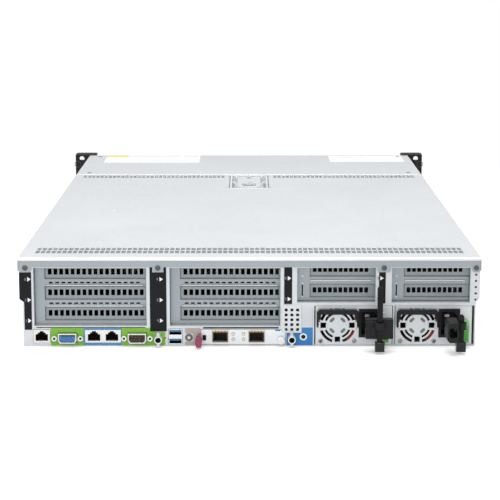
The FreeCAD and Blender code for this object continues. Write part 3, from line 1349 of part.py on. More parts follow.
def system_fan(number):
    x = fan_centres()[number - 1]
    y0 = S.fan_y - S.fan_depth / 2
    body = new_body(f"fan_rotor_{number}", (x, y0, S.fan_level))
    fan_rotor(body, S.fan_blade_radius, S.fan_hub_radius, S.fan_depth - 6, as_size(4),
              S.fan_blade_count)
    return body


# ---------------------------------------------------------------- drives

cage_left = -S.column_pitch * S.bay_columns / 2
cage_front = front_face - 3


def bay_centre(column, level):
    """Middle of a drive bay: columns from the left, levels from below, both from 0."""
    x = cage_left + S.column_pitch * (column + 0.5)
    z = S.drive_floor + S.row_pitch * (level + 0.5)
    return x, z


def drive_cage():
    body = new_body("drive_cage")
    wall = S.bay_wall
    top = S.drive_floor + S.row_pitch * S.bay_rows
    extrude(body, "XZ", S.cage_start, cage_front, [
        rectangle(cage_left - wall / 2, -cage_left + wall / 2, S.drive_floor - wall / 2, top + wall / 2)])
    x, z = bay_centre(0, 0)
    half_x = (S.column_pitch - wall) / 2
    half_z = (S.row_pitch - wall) / 2
    bay = extrude(body, "XZ", S.cage_start - 0.5, cage_front + 0.5, [
        rectangle(x - half_x, x + half_x, z - half_z, z + half_z)], cut=True)
    repeat(body, [bay], "X_Axis", S.column_pitch, S.bay_columns,
           ("Z_Axis", S.row_pitch, S.bay_rows))
    return body


def drive_backplane():
    body = new_body("drive_backplane")
    front = S.cage_start - 0.6
    rear = front - 2.0
    side = lower_half - S.wall_gauge - 1.5
    extrude(body, "XZ", rear, front, [rectangle(-side, side, floor_top, wall_top - 6)])
    x, z = bay_centre(0, 0)
    vent = extrude(body, "XZ", rear - 0.5, front + 0.5, [
        rectangle(x - 34, x + 34, z + 2, z + 10)], cut=True)
    repeat(body, [vent], "X_Axis", S.column_pitch, S.bay_columns,
           ("Z_Axis", S.row_pitch, S.bay_rows))
    plug = extrude(body, "XZ", front - 0.5, front + 4.5, [
        rectangle(x - 42, x - 8, z - 8, z - 3)])
    repeat(body, [plug], "X_Axis", S.column_pitch, S.bay_columns,
           ("Z_Axis", S.row_pitch, S.bay_rows))
    return body


bezel_rear = cage_front + S.bezel_proud - S.bezel_depth
bezel_front = cage_front + S.bezel_proud
lever_start = -S.column_pitch / 2 + 4.0
lever_pivot_x = lever_start + 2.4


def drive(number):
    """A drive in its carrier, with the recess of the lever in its bezel."""
    x, z = bay_centre(number - 1, 2)
    body = new_body(f"drive_{number}", (x, 0, z))
    half_x = (S.column_pitch - S.bay_wall) / 2 - S.drive_gap
    half_z = (S.row_pitch - S.bay_wall) / 2 - S.drive_gap
    rear = cage_front - S.drive_length - 1
    extrude(body, "XZ", rear, bezel_rear + 1, [
        rectangle(-half_x, half_x, -half_z, -half_z + 1),
        rectangle(-half_x + 1.6, half_x - 1.6, -half_z, half_z - 1)])
    extrude(body, "XZ", bezel_rear, bezel_front, [rectangle(-half_x, half_x, -half_z, half_z)])
    lever_end = lever_start + S.lever_length
    gap = 0.4
    seat = bezel_front - S.lever_depth - 2 * gap
    recess = S.lever_height / 2 + gap
    extrude(body, "XZ", seat, bezel_front + 0.5, [
        rectangle(lever_start - gap, lever_end + gap, -recess, recess)], cut=True)
    pivot_y = bezel_front - S.lever_depth / 2
    extrude(body, "XY", -recess - 1.4, recess + 1.4, [
        circle(lever_pivot_x, pivot_y, S.lever_pin_radius + S.pin_clearance)], cut=True)
    return body


def drive_lever(number):
    """Carrier lever with its pivot pin at the left and a pull lip at the right."""
    x, z = bay_centre(number - 1, 2)
    body = new_body(f"drive_{number}_lever", (x, 0, z))
    lever_end = lever_start + S.lever_length
    half = S.lever_height / 2
    rear = bezel_front - S.lever_depth
    pivot_y = bezel_front - S.lever_depth / 2
    extrude(body, "XY", -half, half, [polygon([
        (lever_start + 1.2, rear), (lever_end - 6, rear), (lever_end, rear + 2.2),
        (lever_end, bezel_front), (lever_start + 1.2, bezel_front),
        (lever_start, bezel_front - 1.2), (lever_start, rear + 1.2)])])
    extrude(body, "XY", -half - 1.0, half + 1.0, [circle(lever_pivot_x, pivot_y, S.lever_pin_radius)])
    extrude(body, "XZ", rear - 0.5, bezel_front + 0.5, [
        rectangle(lever_start + 12 + 16 * i, lever_start + 24 + 16 * i, -half + 4, half - 4)
        for i in range(4)], cut=True)
    return body


def drive_blanks():
    """Eight vented fillers in the two lower rows of bays."""
    body = new_body("drive_blanks")
    half_x = (S.column_pitch - S.bay_wall) / 2 - S.drive_gap
    half_z = (S.row_pitch - S.bay_wall) / 2 - S.drive_gap
    x, z = bay_centre(0, 0)
    front = bezel_front - 1.2
    filler = extrude(body, "XZ", bezel_rear, front, [
        rectangle(x - half_x, x + half_x, z - half_z, z + half_z)])
    tail = extrude(body, "XZ", bezel_rear - 46, bezel_rear + 0.5, [
        rectangle(x - half_x, x - half_x + 1.2, z - half_z, z + half_z),
        rectangle(x + half_x - 1.2, x + half_x, z - half_z, z + half_z)])
    cuts = extrude(body, "XZ", bezel_rear - 0.5, front + 0.5, [
        rectangle(x - half_x + 8 + 30 * i, x - half_x + 34 + 30 * i, z - half_z + 6, z + half_z - 6)
        for i in range(3)], cut=True)
    repeat(body, [filler, tail, cuts], "X_Axis", S.column_pitch, S.bay_columns,
           ("Z_Axis", S.row_pitch, S.bay_rows - 1))
    return body


# ---------------------------------------------------------------- covers

def cover_skin(body, y0, y1):
    """Folded cover sheet: top and two skirts."""
    half = S.cover_width / 2
    gauge = S.cover_gauge
    top = S.body_height
    low = top - S.cover_skirt
    bend = 1.2
    outline = [(half - gauge, low), (half, low), (half, top - bend), (half - bend, top),
               (-half + bend, top), (-half, top - bend), (-half, low), (-half + gauge, low),
               (-half + gauge, top - gauge), (half - gauge, top - gauge)]
    return extrude(body, "XZ", y0, y1, [polygon(outline)])


cover_rear = rail_rear - 0.2
tray_front = seam - S.latch_setback
tray_rear = tray_front - S.tray_length
latch_pivot_y = tray_front - 6.0
latch_top = S.body_height - 0.8
latch_pivot_z = latch_top - S.latch_thickness / 2
latch_bore_wall = 1.2


def top_cover():
    """Removable cover: skin, rear bend, vents and the pressed tray of the latch."""
    body = new_body("top_cover")
    gauge = S.cover_gauge
    top = S.body_height
    half = S.cover_width / 2
    cover_skin(body, cover_rear + S.cover_bend, seam)
    # rear bend and lip
    bend = S.cover_bend
    low = rail_top + 0.1
    extrude(body, "YZ", -half, half, [polygon([
        (cover_rear + bend, top), (cover_rear + bend * 0.2929, top - bend * 0.2929),
        (cover_rear, top - bend), (cover_rear, low), (cover_rear + gauge, low),
        (cover_rear + gauge, top - bend), (cover_rear + gauge + (bend - gauge) * 0.2929,
                                           top - gauge - (bend - gauge) * 0.2929),
        (cover_rear + bend, top - gauge)])])
    # pressed tray for the latch handle
    tray = S.tray_width / 2
    floor = top - S.tray_depth
    extrude(body, "XY", top - gauge - 0.5, top + 0.5, [
        rectangle(-tray, tray, tray_rear, tray_front)], cut=True)
    extrude(body, "XY", floor - gauge, top - gauge, [
        rectangle(-tray - gauge, tray + gauge, tray_rear - gauge, tray_front + gauge)])
    extrude(body, "XY", floor, top - gauge + 0.1, [
        rectangle(-tray, tray, tray_rear, tray_front)], cut=True)
    # cheeks that carry the latch pins
    cheek = S.latch_width / 2 + 0.4
    for side in (-1, 1):
        low_x, high_x = sorted((side * cheek, side * (cheek + 2.4)), key=lambda size: size.value)
        block(body, low_x, high_x, latch_pivot_y - 5, latch_pivot_y + 4, floor - 0.2, top)
    extrude(body, "YZ", -cheek - 1.8, cheek + 1.8, [
        circle(latch_pivot_y, latch_pivot_z, S.latch_pin_radius + S.pin_clearance)], cut=True)
    # vent bands
    y0 = rear_face + S.rear_vent_start
    first = -S.rear_vent_pitch * (S.rear_vent_count - 1) / 2 - S.vent_slot_width / 2
    slot = extrude(body, "XY", top - gauge - 0.5, top + 0.5, [
        rectangle(first, first + S.vent_slot_width, y0, y0 + S.rear_vent_length)], cut=True)
    repeat(body, [slot], "X_Axis", S.rear_vent_pitch, S.rear_vent_count)
    y1 = seam - S.front_vent_setback
    span = S.front_vent_pitch * (S.front_vent_count - 1) + S.vent_slot_width
    for start in (-S.front_vent_inset - span, S.front_vent_inset):
        slot = extrude(body, "XY", top - gauge - 0.5, top + 0.5, [
            rectangle(start, start + S.vent_slot_width, y1 - S.front_vent_length, y1)], cut=True)
        repeat(body, [slot], "X_Axis", S.front_vent_pitch, S.front_vent_count)
    return body


def latch_handle():
    """Flat handle in the tray, on two pins near its front end, with a hook below."""
    body = new_body("latch_handle")
    half = S.latch_width / 2
    top = latch_top
    low = top - S.latch_thickness
    rear = latch_pivot_y - S.latch_length
    front = latch_pivot_y + 2.4
    extrude(body, "XY", low, top, [
        polygon([(-half + 3, rear), (half - 3, rear), (half, rear + 3), (half, front),
                 (-half, front), (-half, rear + 3)]),
        rectangle(-half + 6, half - 6, rear + 10, rear + 34)])
    pin = circle(latch_pivot_y, latch_pivot_z, S.latch_pin_radius)
    extrude(body, "YZ", -half - 1.8, half + 1.8, [pin])
    return body


def front_cover():
    body = new_body("front_cover")
    cover_skin(body, seam + S.seam_gap, front_face)
    return body


# ---------------------------------------------------------------- rack ears

def rack_ear(name, side):
    """Rack flange with screw holes, a deep cap in front of it and a bracket on the wall."""
    body = new_body(name)
    outer = side * S.rack_width / 2
    inner = side * (S.column_pitch * S.bay_columns / 2 + 1.6)
    low = 0.4
    high = low + S.ear_height
    x0, x1 = sorted((outer, inner), key=lambda size: size.value)
    front = front_face + S.ear_depth
    slope = 3.0
    extrude(body, "XY", low, high, [polygon([
        (x0, front_face), (x1, front_face), (x1, front - slope), (x1 - slope, front),
        (x0 + slope, front), (x0, front - slope)])])
    hole_x = side * S.rack_hole_width / 2
    middle = low + S.ear_height / 2
    levels = (middle - S.rack_hole_height / 2, middle + S.rack_hole_height / 2)
    extrude(body, "XZ", front_face - 0.5, front_face + S.ear_flange + 0.5, [
        circle(hole_x, z, S.rack_hole_radius) for z in levels], cut=True)
    extrude(body, "XZ", front_face + S.ear_flange, front + 0.5, [
        rectangle(hole_x - 5.5, hole_x + 5.5, z - 4.6, z + 4.6) for z in levels], cut=True)
    wall = side * lower_half
    plate = side * (lower_half + 1.6)
    p0, p1 = sorted((wall, plate), key=lambda size: size.value)
    block(body, p0, p1, front_face - 60, front_face + 0.5, 8, 40)
    if side < 0:
        x = side * (S.rack_width / 2 - 14)
        extrude(body, "XZ", front - 6, front + 0.5, [
            circle(x, S.front_button_level, S.front_button_radius + S.button_gap)], cut=True)
    else:
        x = side * (S.rack_width / 2 - 14)
        extrude(body, "XZ", front - 12, front + 0.5, [
            rectangle(x - 3, x + 3, S.front_button_level - 7, S.front_button_level + 7)], cut=True)
    return body


def front_power_button():
    x = -(S.rack_width / 2 - 14)
    body = new_body("front_power_button", (x, front_face + S.ear_depth, S.front_button_level))
    turn(body, "Y_Axis", [polygon([
        (-4.2, 0), (-4.2, S.front_button_radius), (0.6, S.front_button_radius), (0.6, 0)])])
    return body


base_pan()
rear_panel()
guide_posts()
rear_top_rail()
rear_screws()
label_strips()
riser_cage("riser_cage_left", "left")
riser_cage("riser_cage_middle", "middle")
riser_cage_right()
slot_covers()
riser_boards()
dsub_ports()
lan_ports()
usb_ports()
rear_button("uid_button", S.uid_x, S.port_level, S.button_radius, 0.8)
rear_button("rear_power_button", S.power_x, S.power_level, S.power_radius, 0.5)
ocp_module()
ocp_pull_tab()
ocp_thumbscrew()
psu_cage()
for number in (1, 2):
    psu_case(number)
    psu_inlet(number)
    psu_rotor(number)
    psu_handle(number)
    psu_latch(number)
    psu_strap(number)
    psu_clamp(number)
motherboard()
cpu_heatsinks()
memory_modules()
air_duct()
fan_cage()
for number in range(1, 5):
    system_fan(number)
drive_cage()
drive_backplane()
drive_blanks()
for number in range(1, 5):
    drive(number)
    drive_lever(number)
top_cover()
latch_handle()
front_cover()
rack_ear("left_ear", -1)
rack_ear("right_ear", 1)
front_power_button()

# ---------------------------------------------------------------- check and write

doc.recompute()
for thing in doc.Objects:
    if "Invalid" in thing.State or "Error" in thing.State:
        raise RuntimeError(f"{thing.Label} failed to build: {thing.State}")
for part in PARTS:
    if part.Shape.isNull() or not part.Shape.isValid():
        raise RuntimeError(f"{part.Label} has no valid shape")

os.makedirs("parts", exist_ok=True)
for part in PARTS:
    part.Shape.exportStep(f"parts/{part.Label}.step")
    print(part.Label, len(part.Shape.Solids), round(part.Shape.Volume / 1000.0, 2), "cm3")
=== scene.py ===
"""Dresses the two-unit rack server: finishes for every sub-part, its small details and a studio."""

import json
import math
import random

import bmesh
import bpy
from bpy.props import FloatProperty, FloatVectorProperty, IntProperty, PointerProperty
from mathutils import Matrix, Vector


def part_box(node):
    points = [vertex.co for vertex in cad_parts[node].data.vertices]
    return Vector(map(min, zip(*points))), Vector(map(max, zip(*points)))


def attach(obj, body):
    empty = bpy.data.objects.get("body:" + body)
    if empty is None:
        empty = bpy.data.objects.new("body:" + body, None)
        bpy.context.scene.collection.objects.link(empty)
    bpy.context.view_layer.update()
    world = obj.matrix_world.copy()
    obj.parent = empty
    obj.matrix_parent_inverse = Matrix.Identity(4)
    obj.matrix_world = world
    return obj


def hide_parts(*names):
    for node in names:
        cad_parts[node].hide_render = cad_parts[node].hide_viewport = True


bl_info = {
    "name": "Rack server dressing",
    "version": (1, 0, 0),
    "blender": (4, 5, 0),
    "location": "View3D > Sidebar > Rack server",
    "description": "Finishes, small details and a studio for a two-unit rack server",
    "category": "Object",
}

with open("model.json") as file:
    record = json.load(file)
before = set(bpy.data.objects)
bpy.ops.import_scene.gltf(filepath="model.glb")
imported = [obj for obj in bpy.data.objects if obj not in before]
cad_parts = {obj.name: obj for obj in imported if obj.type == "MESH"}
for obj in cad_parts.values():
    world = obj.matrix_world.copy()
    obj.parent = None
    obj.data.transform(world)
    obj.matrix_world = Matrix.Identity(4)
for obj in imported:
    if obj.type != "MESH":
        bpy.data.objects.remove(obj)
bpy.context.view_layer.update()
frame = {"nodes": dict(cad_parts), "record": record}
MM = 0.001


def span(node):
    """Edges of a sub-part's box in millimetres: x0, x1, y0, y1, z0, z1."""
    low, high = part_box(node)
    return [edge / MM for edge in (low.x, high.x, low.y, high.y, low.z, high.z)]


def opening(name):
    """Edges in millimetres of a clear space that the record states."""
    for space in frame["record"]["physics"]["openings"]:
        if space["name"] == name:
            low, high = space["box_m"]
            return [v / MM for pair in zip(low, high) for v in pair]
    raise KeyError(name)


def pivot(joint):
    """A joint's place in millimetres."""
    for row in frame["record"]["behaviour"]["joints"]:
        if row["name"] == joint:
            return [v / MM for v in row["pos_m"]]
    raise KeyError(joint)


def middle(low, high):
    return (low + high) / 2


REAR = span("label_strips")[3]
FRONT = span("front_cover")[3]
TOP = span("top_cover")[5]
JACKS = ("management_jack", "network_jack_a", "network_jack_b")
MODULE_CAGES = ("module_cage_a", "module_cage_b")
SLOT_PITCH = 20.32
DRIVE_PITCH = 105.5
HEATSINK_X = 108.0
RACK_HOLE_X = 232.55
RACK_HOLE_MIDDLE = 43.9
RACK_HOLE_RISE = 38.1
JACK_SCREW_X = 12.5
PIN_PITCH = 2.77
RIVET_LEVEL = 50.5
BAY_WINDOW = 10.1
SMALL_WINDOW = (14.0, 62.0)
SMALL_BAY_PITCH = 90.4
WINDOW_HALF = 6.0
SLOTS = [span("slot_covers")[4] + 7.4 + SLOT_PITCH * i for i in range(3)]
SMALL_SLOTS = [span("slot_covers")[5] - 5.92 - SLOT_PITCH * (1 - i) for i in range(2)]
PORT_LEVEL = middle(*span("uid_button")[4:])
VGA_X = span("dsub_ports")[0] + 15.4
SERIAL_X = span("dsub_ports")[1] - 15.4


# ---------------------------------------------------------------- settings

def colour_prop(name, description, default):
    return FloatVectorProperty(name=name, description=description, subtype="COLOR", size=3,
                               min=0.0, max=1.0, default=default)


def length_prop(name, description, default):
    return FloatProperty(name=name, description=description, subtype="DISTANCE", unit="LENGTH",
                         min=0.0, default=default * MM, precision=5)


class ServerFinishes(bpy.types.PropertyGroup):
    """Colours of the server's finishes"""

    cover: colour_prop("Cover sheet", "Plated sheet of the two covers", (0.74, 0.755, 0.77))
    chassis: colour_prop("Chassis sheet", "Plated sheet of the pan and rear panel",
                         (0.615, 0.635, 0.65))
    rail: colour_prop("Top rail", "Sheet of the rear top rail", (0.335, 0.365, 0.385))
    bracket: colour_prop("Bracket sheet", "Sheet of the riser cages", (0.31, 0.345, 0.365))
    slot_cover: colour_prop("Slot cover sheet", "Sheet of the slot covers", (0.25, 0.28, 0.29))
    nickel: colour_prop("Nickel", "Plated connector shells and screws", (0.66, 0.66, 0.655))
    label: colour_prop("Label film", "Film of the slot label strips", (0.005, 0.0055, 0.008))
    mark: colour_prop("Label marks", "Arrows and numbers on the label strips", (0.85, 0.86, 0.87))
    green: colour_prop("Green film", "Film round the service connectors", (0.19, 0.46, 0.028))
    blue: colour_prop("Blue film", "Film round the network jacks", (0.06, 0.27, 0.58))
    power_blue: colour_prop("Power film", "Film round the rear power button", (0.015, 0.19, 0.50))
    maroon: colour_prop("Maroon plastic", "Touch points", (0.26, 0.030, 0.078))
    latch: colour_prop("Latch plastic", "Release latches of the power supplies", (0.10, 0.46, 0.06))
    black: colour_prop("Black plastic", "Handles, clamps and ears", (0.007, 0.007, 0.0085))
    board: colour_prop("Circuit board", "Solder mask of the boards", (0.010, 0.075, 0.040))


class ServerSizes(bpy.types.PropertyGroup):
    """Sizes of the server's small details"""

    film: length_prop("Film thickness", "Thickness of the coloured films", 0.12)
    vent_bar: length_prop("Vent bar", "Width of the bar across the rear vent band", 1.6)
    arrow: length_prop("Arrow height", "Height of the arrows on the label strips", 4.4)
    screw: length_prop("Screw head", "Radius of the rear screws' heads", 2.6)
    board_chips: IntProperty(name="Board chips", description="Small chips scattered on the board",
                             default=150, min=0)
    # Amount of the lightened edges: scuffing mixed with a painted highlight.
    wear: FloatProperty(name="Edge wear", description="How much edges are worn bright",
                        subtype="FACTOR", default=0.5, min=0.0, max=1.0)


# ---------------------------------------------------------------- shader node groups

def new_group(name, inputs, outputs):
    tree = bpy.data.node_groups.new(name, "ShaderNodeTree")
    for socket, kind, default in inputs:
        made = tree.interface.new_socket(name=socket, in_out="INPUT",
                                         socket_type=f"NodeSocket{kind}")
        if default is not None:
            made.default_value = default
    for socket, kind in outputs:
        tree.interface.new_socket(name=socket, in_out="OUTPUT", socket_type=f"NodeSocket{kind}")
    return tree, tree.nodes.new("NodeGroupInput"), tree.nodes.new("NodeGroupOutput")


def math_node(tree, operation, first, second=None, clamp=False):
    node = tree.nodes.new("ShaderNodeMath")
    node.operation = operation
    node.use_clamp = clamp
    for socket, value in zip(node.inputs, (first, second)):
        if value is None:
            continue
        if isinstance(value, (int, float)):
            socket.default_value = value
        else:
            tree.links.new(value, socket)
    return node.outputs[0]


def mix_colours(tree, factor, first, second, blend="MIX"):
    node = tree.nodes.new("ShaderNodeMix")
    node.data_type = "RGBA"
    node.blend_type = blend
    for socket, value in ((node.inputs[0], factor), (node.inputs[6], first),
                          (node.inputs[7], second)):
        if isinstance(value, (int, float)):
            socket.default_value = value
        elif isinstance(value, (tuple, list)):
            socket.default_value = (*value[:3], 1.0)
        else:
            tree.links.new(value, socket)
    return node.outputs[2]


def own_coordinates(tree):
    return tree.nodes.new("ShaderNodeTexCoord").outputs["Object"]


def noise(tree, vector, scale, detail=3.0, roughness=0.6):
    node = tree.nodes.new("ShaderNodeTexNoise")
    node.inputs["Detail"].default_value = detail
    node.inputs["Roughness"].default_value = roughness
    tree.links.new(vector, node.inputs["Vector"])
    if isinstance(scale, (int, float)):
        node.inputs["Scale"].default_value = scale
    else:
        tree.links.new(scale, node.inputs["Scale"])
    return node.outputs["Fac"]


def sheet_grain_group():
    """Rolled and plated sheet: fine grain, soft clouds and faint spangle."""
    tree, given, result = new_group("Sheet Grain", [
        ("Colour", "Color", (0.7, 0.7, 0.7, 1)), ("Variation", "Float", 0.10),
        ("Scale", "Float", 600.0),
        ("Stretch", "Vector", (1.0, 1.0, 1.0)), ("Roughness", "Float", 0.4)],
        [("Colour", "Color"), ("Roughness", "Float"), ("Height", "Float")])
    stretched = tree.nodes.new("ShaderNodeVectorMath")
    stretched.operation = "MULTIPLY"
    tree.links.new(own_coordinates(tree), stretched.inputs[0])
    tree.links.new(given.outputs["Stretch"], stretched.inputs[1])
    fine = noise(tree, stretched.outputs[0], given.outputs["Scale"])
    clouds = noise(tree, own_coordinates(tree), 9.0, 4.0)
    spangle = tree.nodes.new("ShaderNodeTexVoronoi")
    spangle.inputs["Scale"].default_value = 260.0
    tree.links.new(own_coordinates(tree), spangle.inputs["Vector"])
    flakes = tree.nodes.new("ShaderNodeSeparateColor")
    tree.links.new(spangle.outputs["Color"], flakes.inputs[0])
    total = math_node(tree, "ADD", math_node(tree, "MULTIPLY", fine, 0.55),
                      math_node(tree, "MULTIPLY", clouds, 0.6))
    total = math_node(tree, "ADD", total, math_node(tree, "MULTIPLY", flakes.outputs[0], 0.16))
    swing = math_node(tree, "MULTIPLY", math_node(tree, "SUBTRACT", total, 0.65),
                      given.outputs["Variation"])
    level = math_node(tree, "ADD", swing, 1.0)
    shade = tree.nodes.new("ShaderNodeCombineColor")
    for channel in range(3):
        tree.links.new(level, shade.inputs[channel])
    tree.links.new(mix_colours(tree, 1.0, given.outputs["Colour"], shade.outputs[0], "MULTIPLY"),
                   result.inputs["Colour"])
    rough = math_node(tree, "ADD", given.outputs["Roughness"],
                      math_node(tree, "MULTIPLY", math_node(tree, "SUBTRACT", total, 0.65), 0.22),
                      True)
    tree.links.new(rough, result.inputs["Roughness"])
    tree.links.new(fine, result.inputs["Height"])
    return tree


def moulded_skin_group():
    """Moulded plastic: spark-eroded texture with faint cloudy colour."""
    tree, given, result = new_group("Moulded Skin", [
        ("Colour", "Color", (0.02, 0.02, 0.02, 1)), ("Variation", "Float", 0.25),
        ("Scale", "Float", 1500.0), ("Roughness", "Float", 0.45)],
        [("Colour", "Color"), ("Roughness", "Float"), ("Height", "Float")])
    grain = noise(tree, own_coordinates(tree), given.outputs["Scale"], 2.0)
    clouds = noise(tree, own_coordinates(tree), 35.0, 3.0)
    level = math_node(tree, "ADD", 1.0, math_node(
        tree, "MULTIPLY", math_node(tree, "SUBTRACT", clouds, 0.5), given.outputs["Variation"]))
    shade = tree.nodes.new("ShaderNodeCombineColor")
    for channel in range(3):
        tree.links.new(level, shade.inputs[channel])
    tree.links.new(mix_colours(tree, 1.0, given.outputs["Colour"], shade.outputs[0], "MULTIPLY"),
                   result.inputs["Colour"])
    rough = math_node(tree, "ADD", given.outputs["Roughness"], math_node(
        tree, "MULTIPLY", math_node(tree, "SUBTRACT", grain, 0.5), 0.3), True)
    tree.links.new(rough, result.inputs["Roughness"])
    tree.links.new(grain, result.inputs["Height"])
    return tree


def edge_wear_group():
    """Rounds edges in the shading and lightens them along a mask: partly scuffing, partly a painted
    highlight along the edges.
    """
    tree, given, result = new_group("Edge Rub And Sheen", [
        ("Colour", "Color", (0.7, 0.7, 0.7, 1)), ("Rubbed And Lit", "Color", (0.9, 0.9, 0.9, 1)),
        ("Amount", "Float", 0.5), ("Width", "Float", 0.0004)],
        [("Colour", "Color"), ("Normal", "Vector")])
    bevel = tree.nodes.new("ShaderNodeBevel")
    bevel.samples = 3
    tree.links.new(given.outputs["Width"], bevel.inputs["Radius"])
    geometry = tree.nodes.new("ShaderNodeNewGeometry")
    dot = tree.nodes.new("ShaderNodeVectorMath")
    dot.operation = "DOT_PRODUCT"
    tree.links.new(bevel.outputs[0], dot.inputs[0])
    tree.links.new(geometry.outputs["Normal"], dot.inputs[1])
    mask = math_node(tree, "MULTIPLY", math_node(tree, "SUBTRACT", 1.0, dot.outputs["Value"]), 9.0,
                     True)
    patches = noise(tree, own_coordinates(tree), 240.0, 3.0)
    broken = math_node(tree, "MULTIPLY", math_node(tree, "SUBTRACT", patches, 0.32), 3.2, True)
    rub_sheen_mask = math_node(tree, "MULTIPLY", math_node(tree, "MULTIPLY", mask, broken),
                       given.outputs["Amount"])
    tree.links.new(mix_colours(tree, rub_sheen_mask, given.outputs["Colour"], given.outputs["Rubbed And Lit"]),
                   result.inputs["Colour"])
    tree.links.new(bevel.outputs[0], result.inputs["Normal"])
    return tree


def zone_group():
    """Mask that is one inside a box given by its low and high corners."""
    tree, given, result = new_group("Zone", [
        ("Low", "Vector", (0, 0, 0)), ("High", "Vector", (1, 1, 1))], [("Mask", "Float")])
    parts = []
    for source in (own_coordinates(tree), given.outputs["Low"], given.outputs["High"]):
        split = tree.nodes.new("ShaderNodeSeparateXYZ")
        tree.links.new(source, split.inputs[0])
        parts.append(split)
    mask = None
    for axis in range(3):
        above = math_node(tree, "GREATER_THAN", parts[0].outputs[axis], parts[1].outputs[axis])
        below = math_node(tree, "LESS_THAN", parts[0].outputs[axis], parts[2].outputs[axis])
        inside = math_node(tree, "MULTIPLY", above, below)
        mask = inside if mask is None else math_node(tree, "MULTIPLY", mask, inside)
    tree.links.new(mask, result.inputs["Mask"])
    return tree


GROUPS = {}


def use_group(tree, name):
    makers = {"Sheet Grain": sheet_grain_group, "Moulded Skin": moulded_skin_group,
              "Edge Rub And Sheen": edge_wear_group, "Zone": zone_group}
    if name not in GROUPS:
        GROUPS[name] = makers[name]()
    node = tree.nodes.new("ShaderNodeGroup")
    node.node_tree = GROUPS[name]
    return node


def finish(name, colour, roughness, metallic=0.0, skin="Sheet Grain", variation=0.1, scale=600.0,
           stretch=None, bump=0.02, worn=None, wear=None, width=0.35, coat=0.0, zones=(),
           specular=None):
    """A complete procedural material; zones are (low, high, colour) boxes in millimetres."""
    if name in bpy.data.materials:
        return bpy.data.materials[name]
    material = bpy.data.materials.new(name)
    material.use_nodes = True
    tree = material.node_tree
    shader = tree.nodes["Principled BSDF"]
    shader.inputs["Metallic"].default_value = metallic
    if coat:
        shader.inputs["Coat Weight"].default_value = coat
    if specular is not None:
        shader.inputs["Specular IOR Level"].default_value = specular
    surface = use_group(tree, skin)
    surface.inputs["Colour"].default_value = (*colour, 1.0)
    surface.inputs["Variation"].default_value = variation
    surface.inputs["Scale"].default_value = scale
    surface.inputs["Roughness"].default_value = roughness
    if stretch:
        surface.inputs["Stretch"].default_value = stretch
    painted = surface.outputs["Colour"]
    for low, high, tint in zones:
        zone = use_group(tree, "Zone")
        zone.inputs["Low"].default_value = [v * MM for v in low]
        zone.inputs["High"].default_value = [v * MM for v in high]
        painted = mix_colours(tree, zone.outputs["Mask"], painted, tint)
    edges = use_group(tree, "Edge Rub And Sheen")
    tree.links.new(painted, edges.inputs["Colour"])
    # Edge colour: scuffing mixed with a painted highlight, lighter than the base colour by default.
    rub_sheen_default = worn or tuple(min(1.0, c * 1.25 + 0.04) for c in colour)
    edges.inputs["Rubbed And Lit"].default_value = (*rub_sheen_default, 1.0)
    settings = bpy.context.scene.server_sizes
    edges.inputs["Amount"].default_value = settings.wear if wear is None else wear
    edges.inputs["Width"].default_value = width * MM
    tree.links.new(edges.outputs["Colour"], shader.inputs["Base Color"])
    tree.links.new(surface.outputs["Roughness"], shader.inputs["Roughness"])
    relief = tree.nodes.new("ShaderNodeBump")
    relief.inputs["Strength"].default_value = bump
    relief.inputs["Distance"].default_value = 0.0003
    tree.links.new(surface.outputs["Height"], relief.inputs["Height"])
    tree.links.new(edges.outputs["Normal"], relief.inputs["Normal"])
    tree.links.new(relief.outputs[0], shader.inputs["Normal"])
    return material


def plastic(name, colour, roughness, metallic=0.0, **settings):
    """A moulded, printed or film finish."""
    return finish(name, colour, roughness, metallic, "Moulded Skin", **settings)


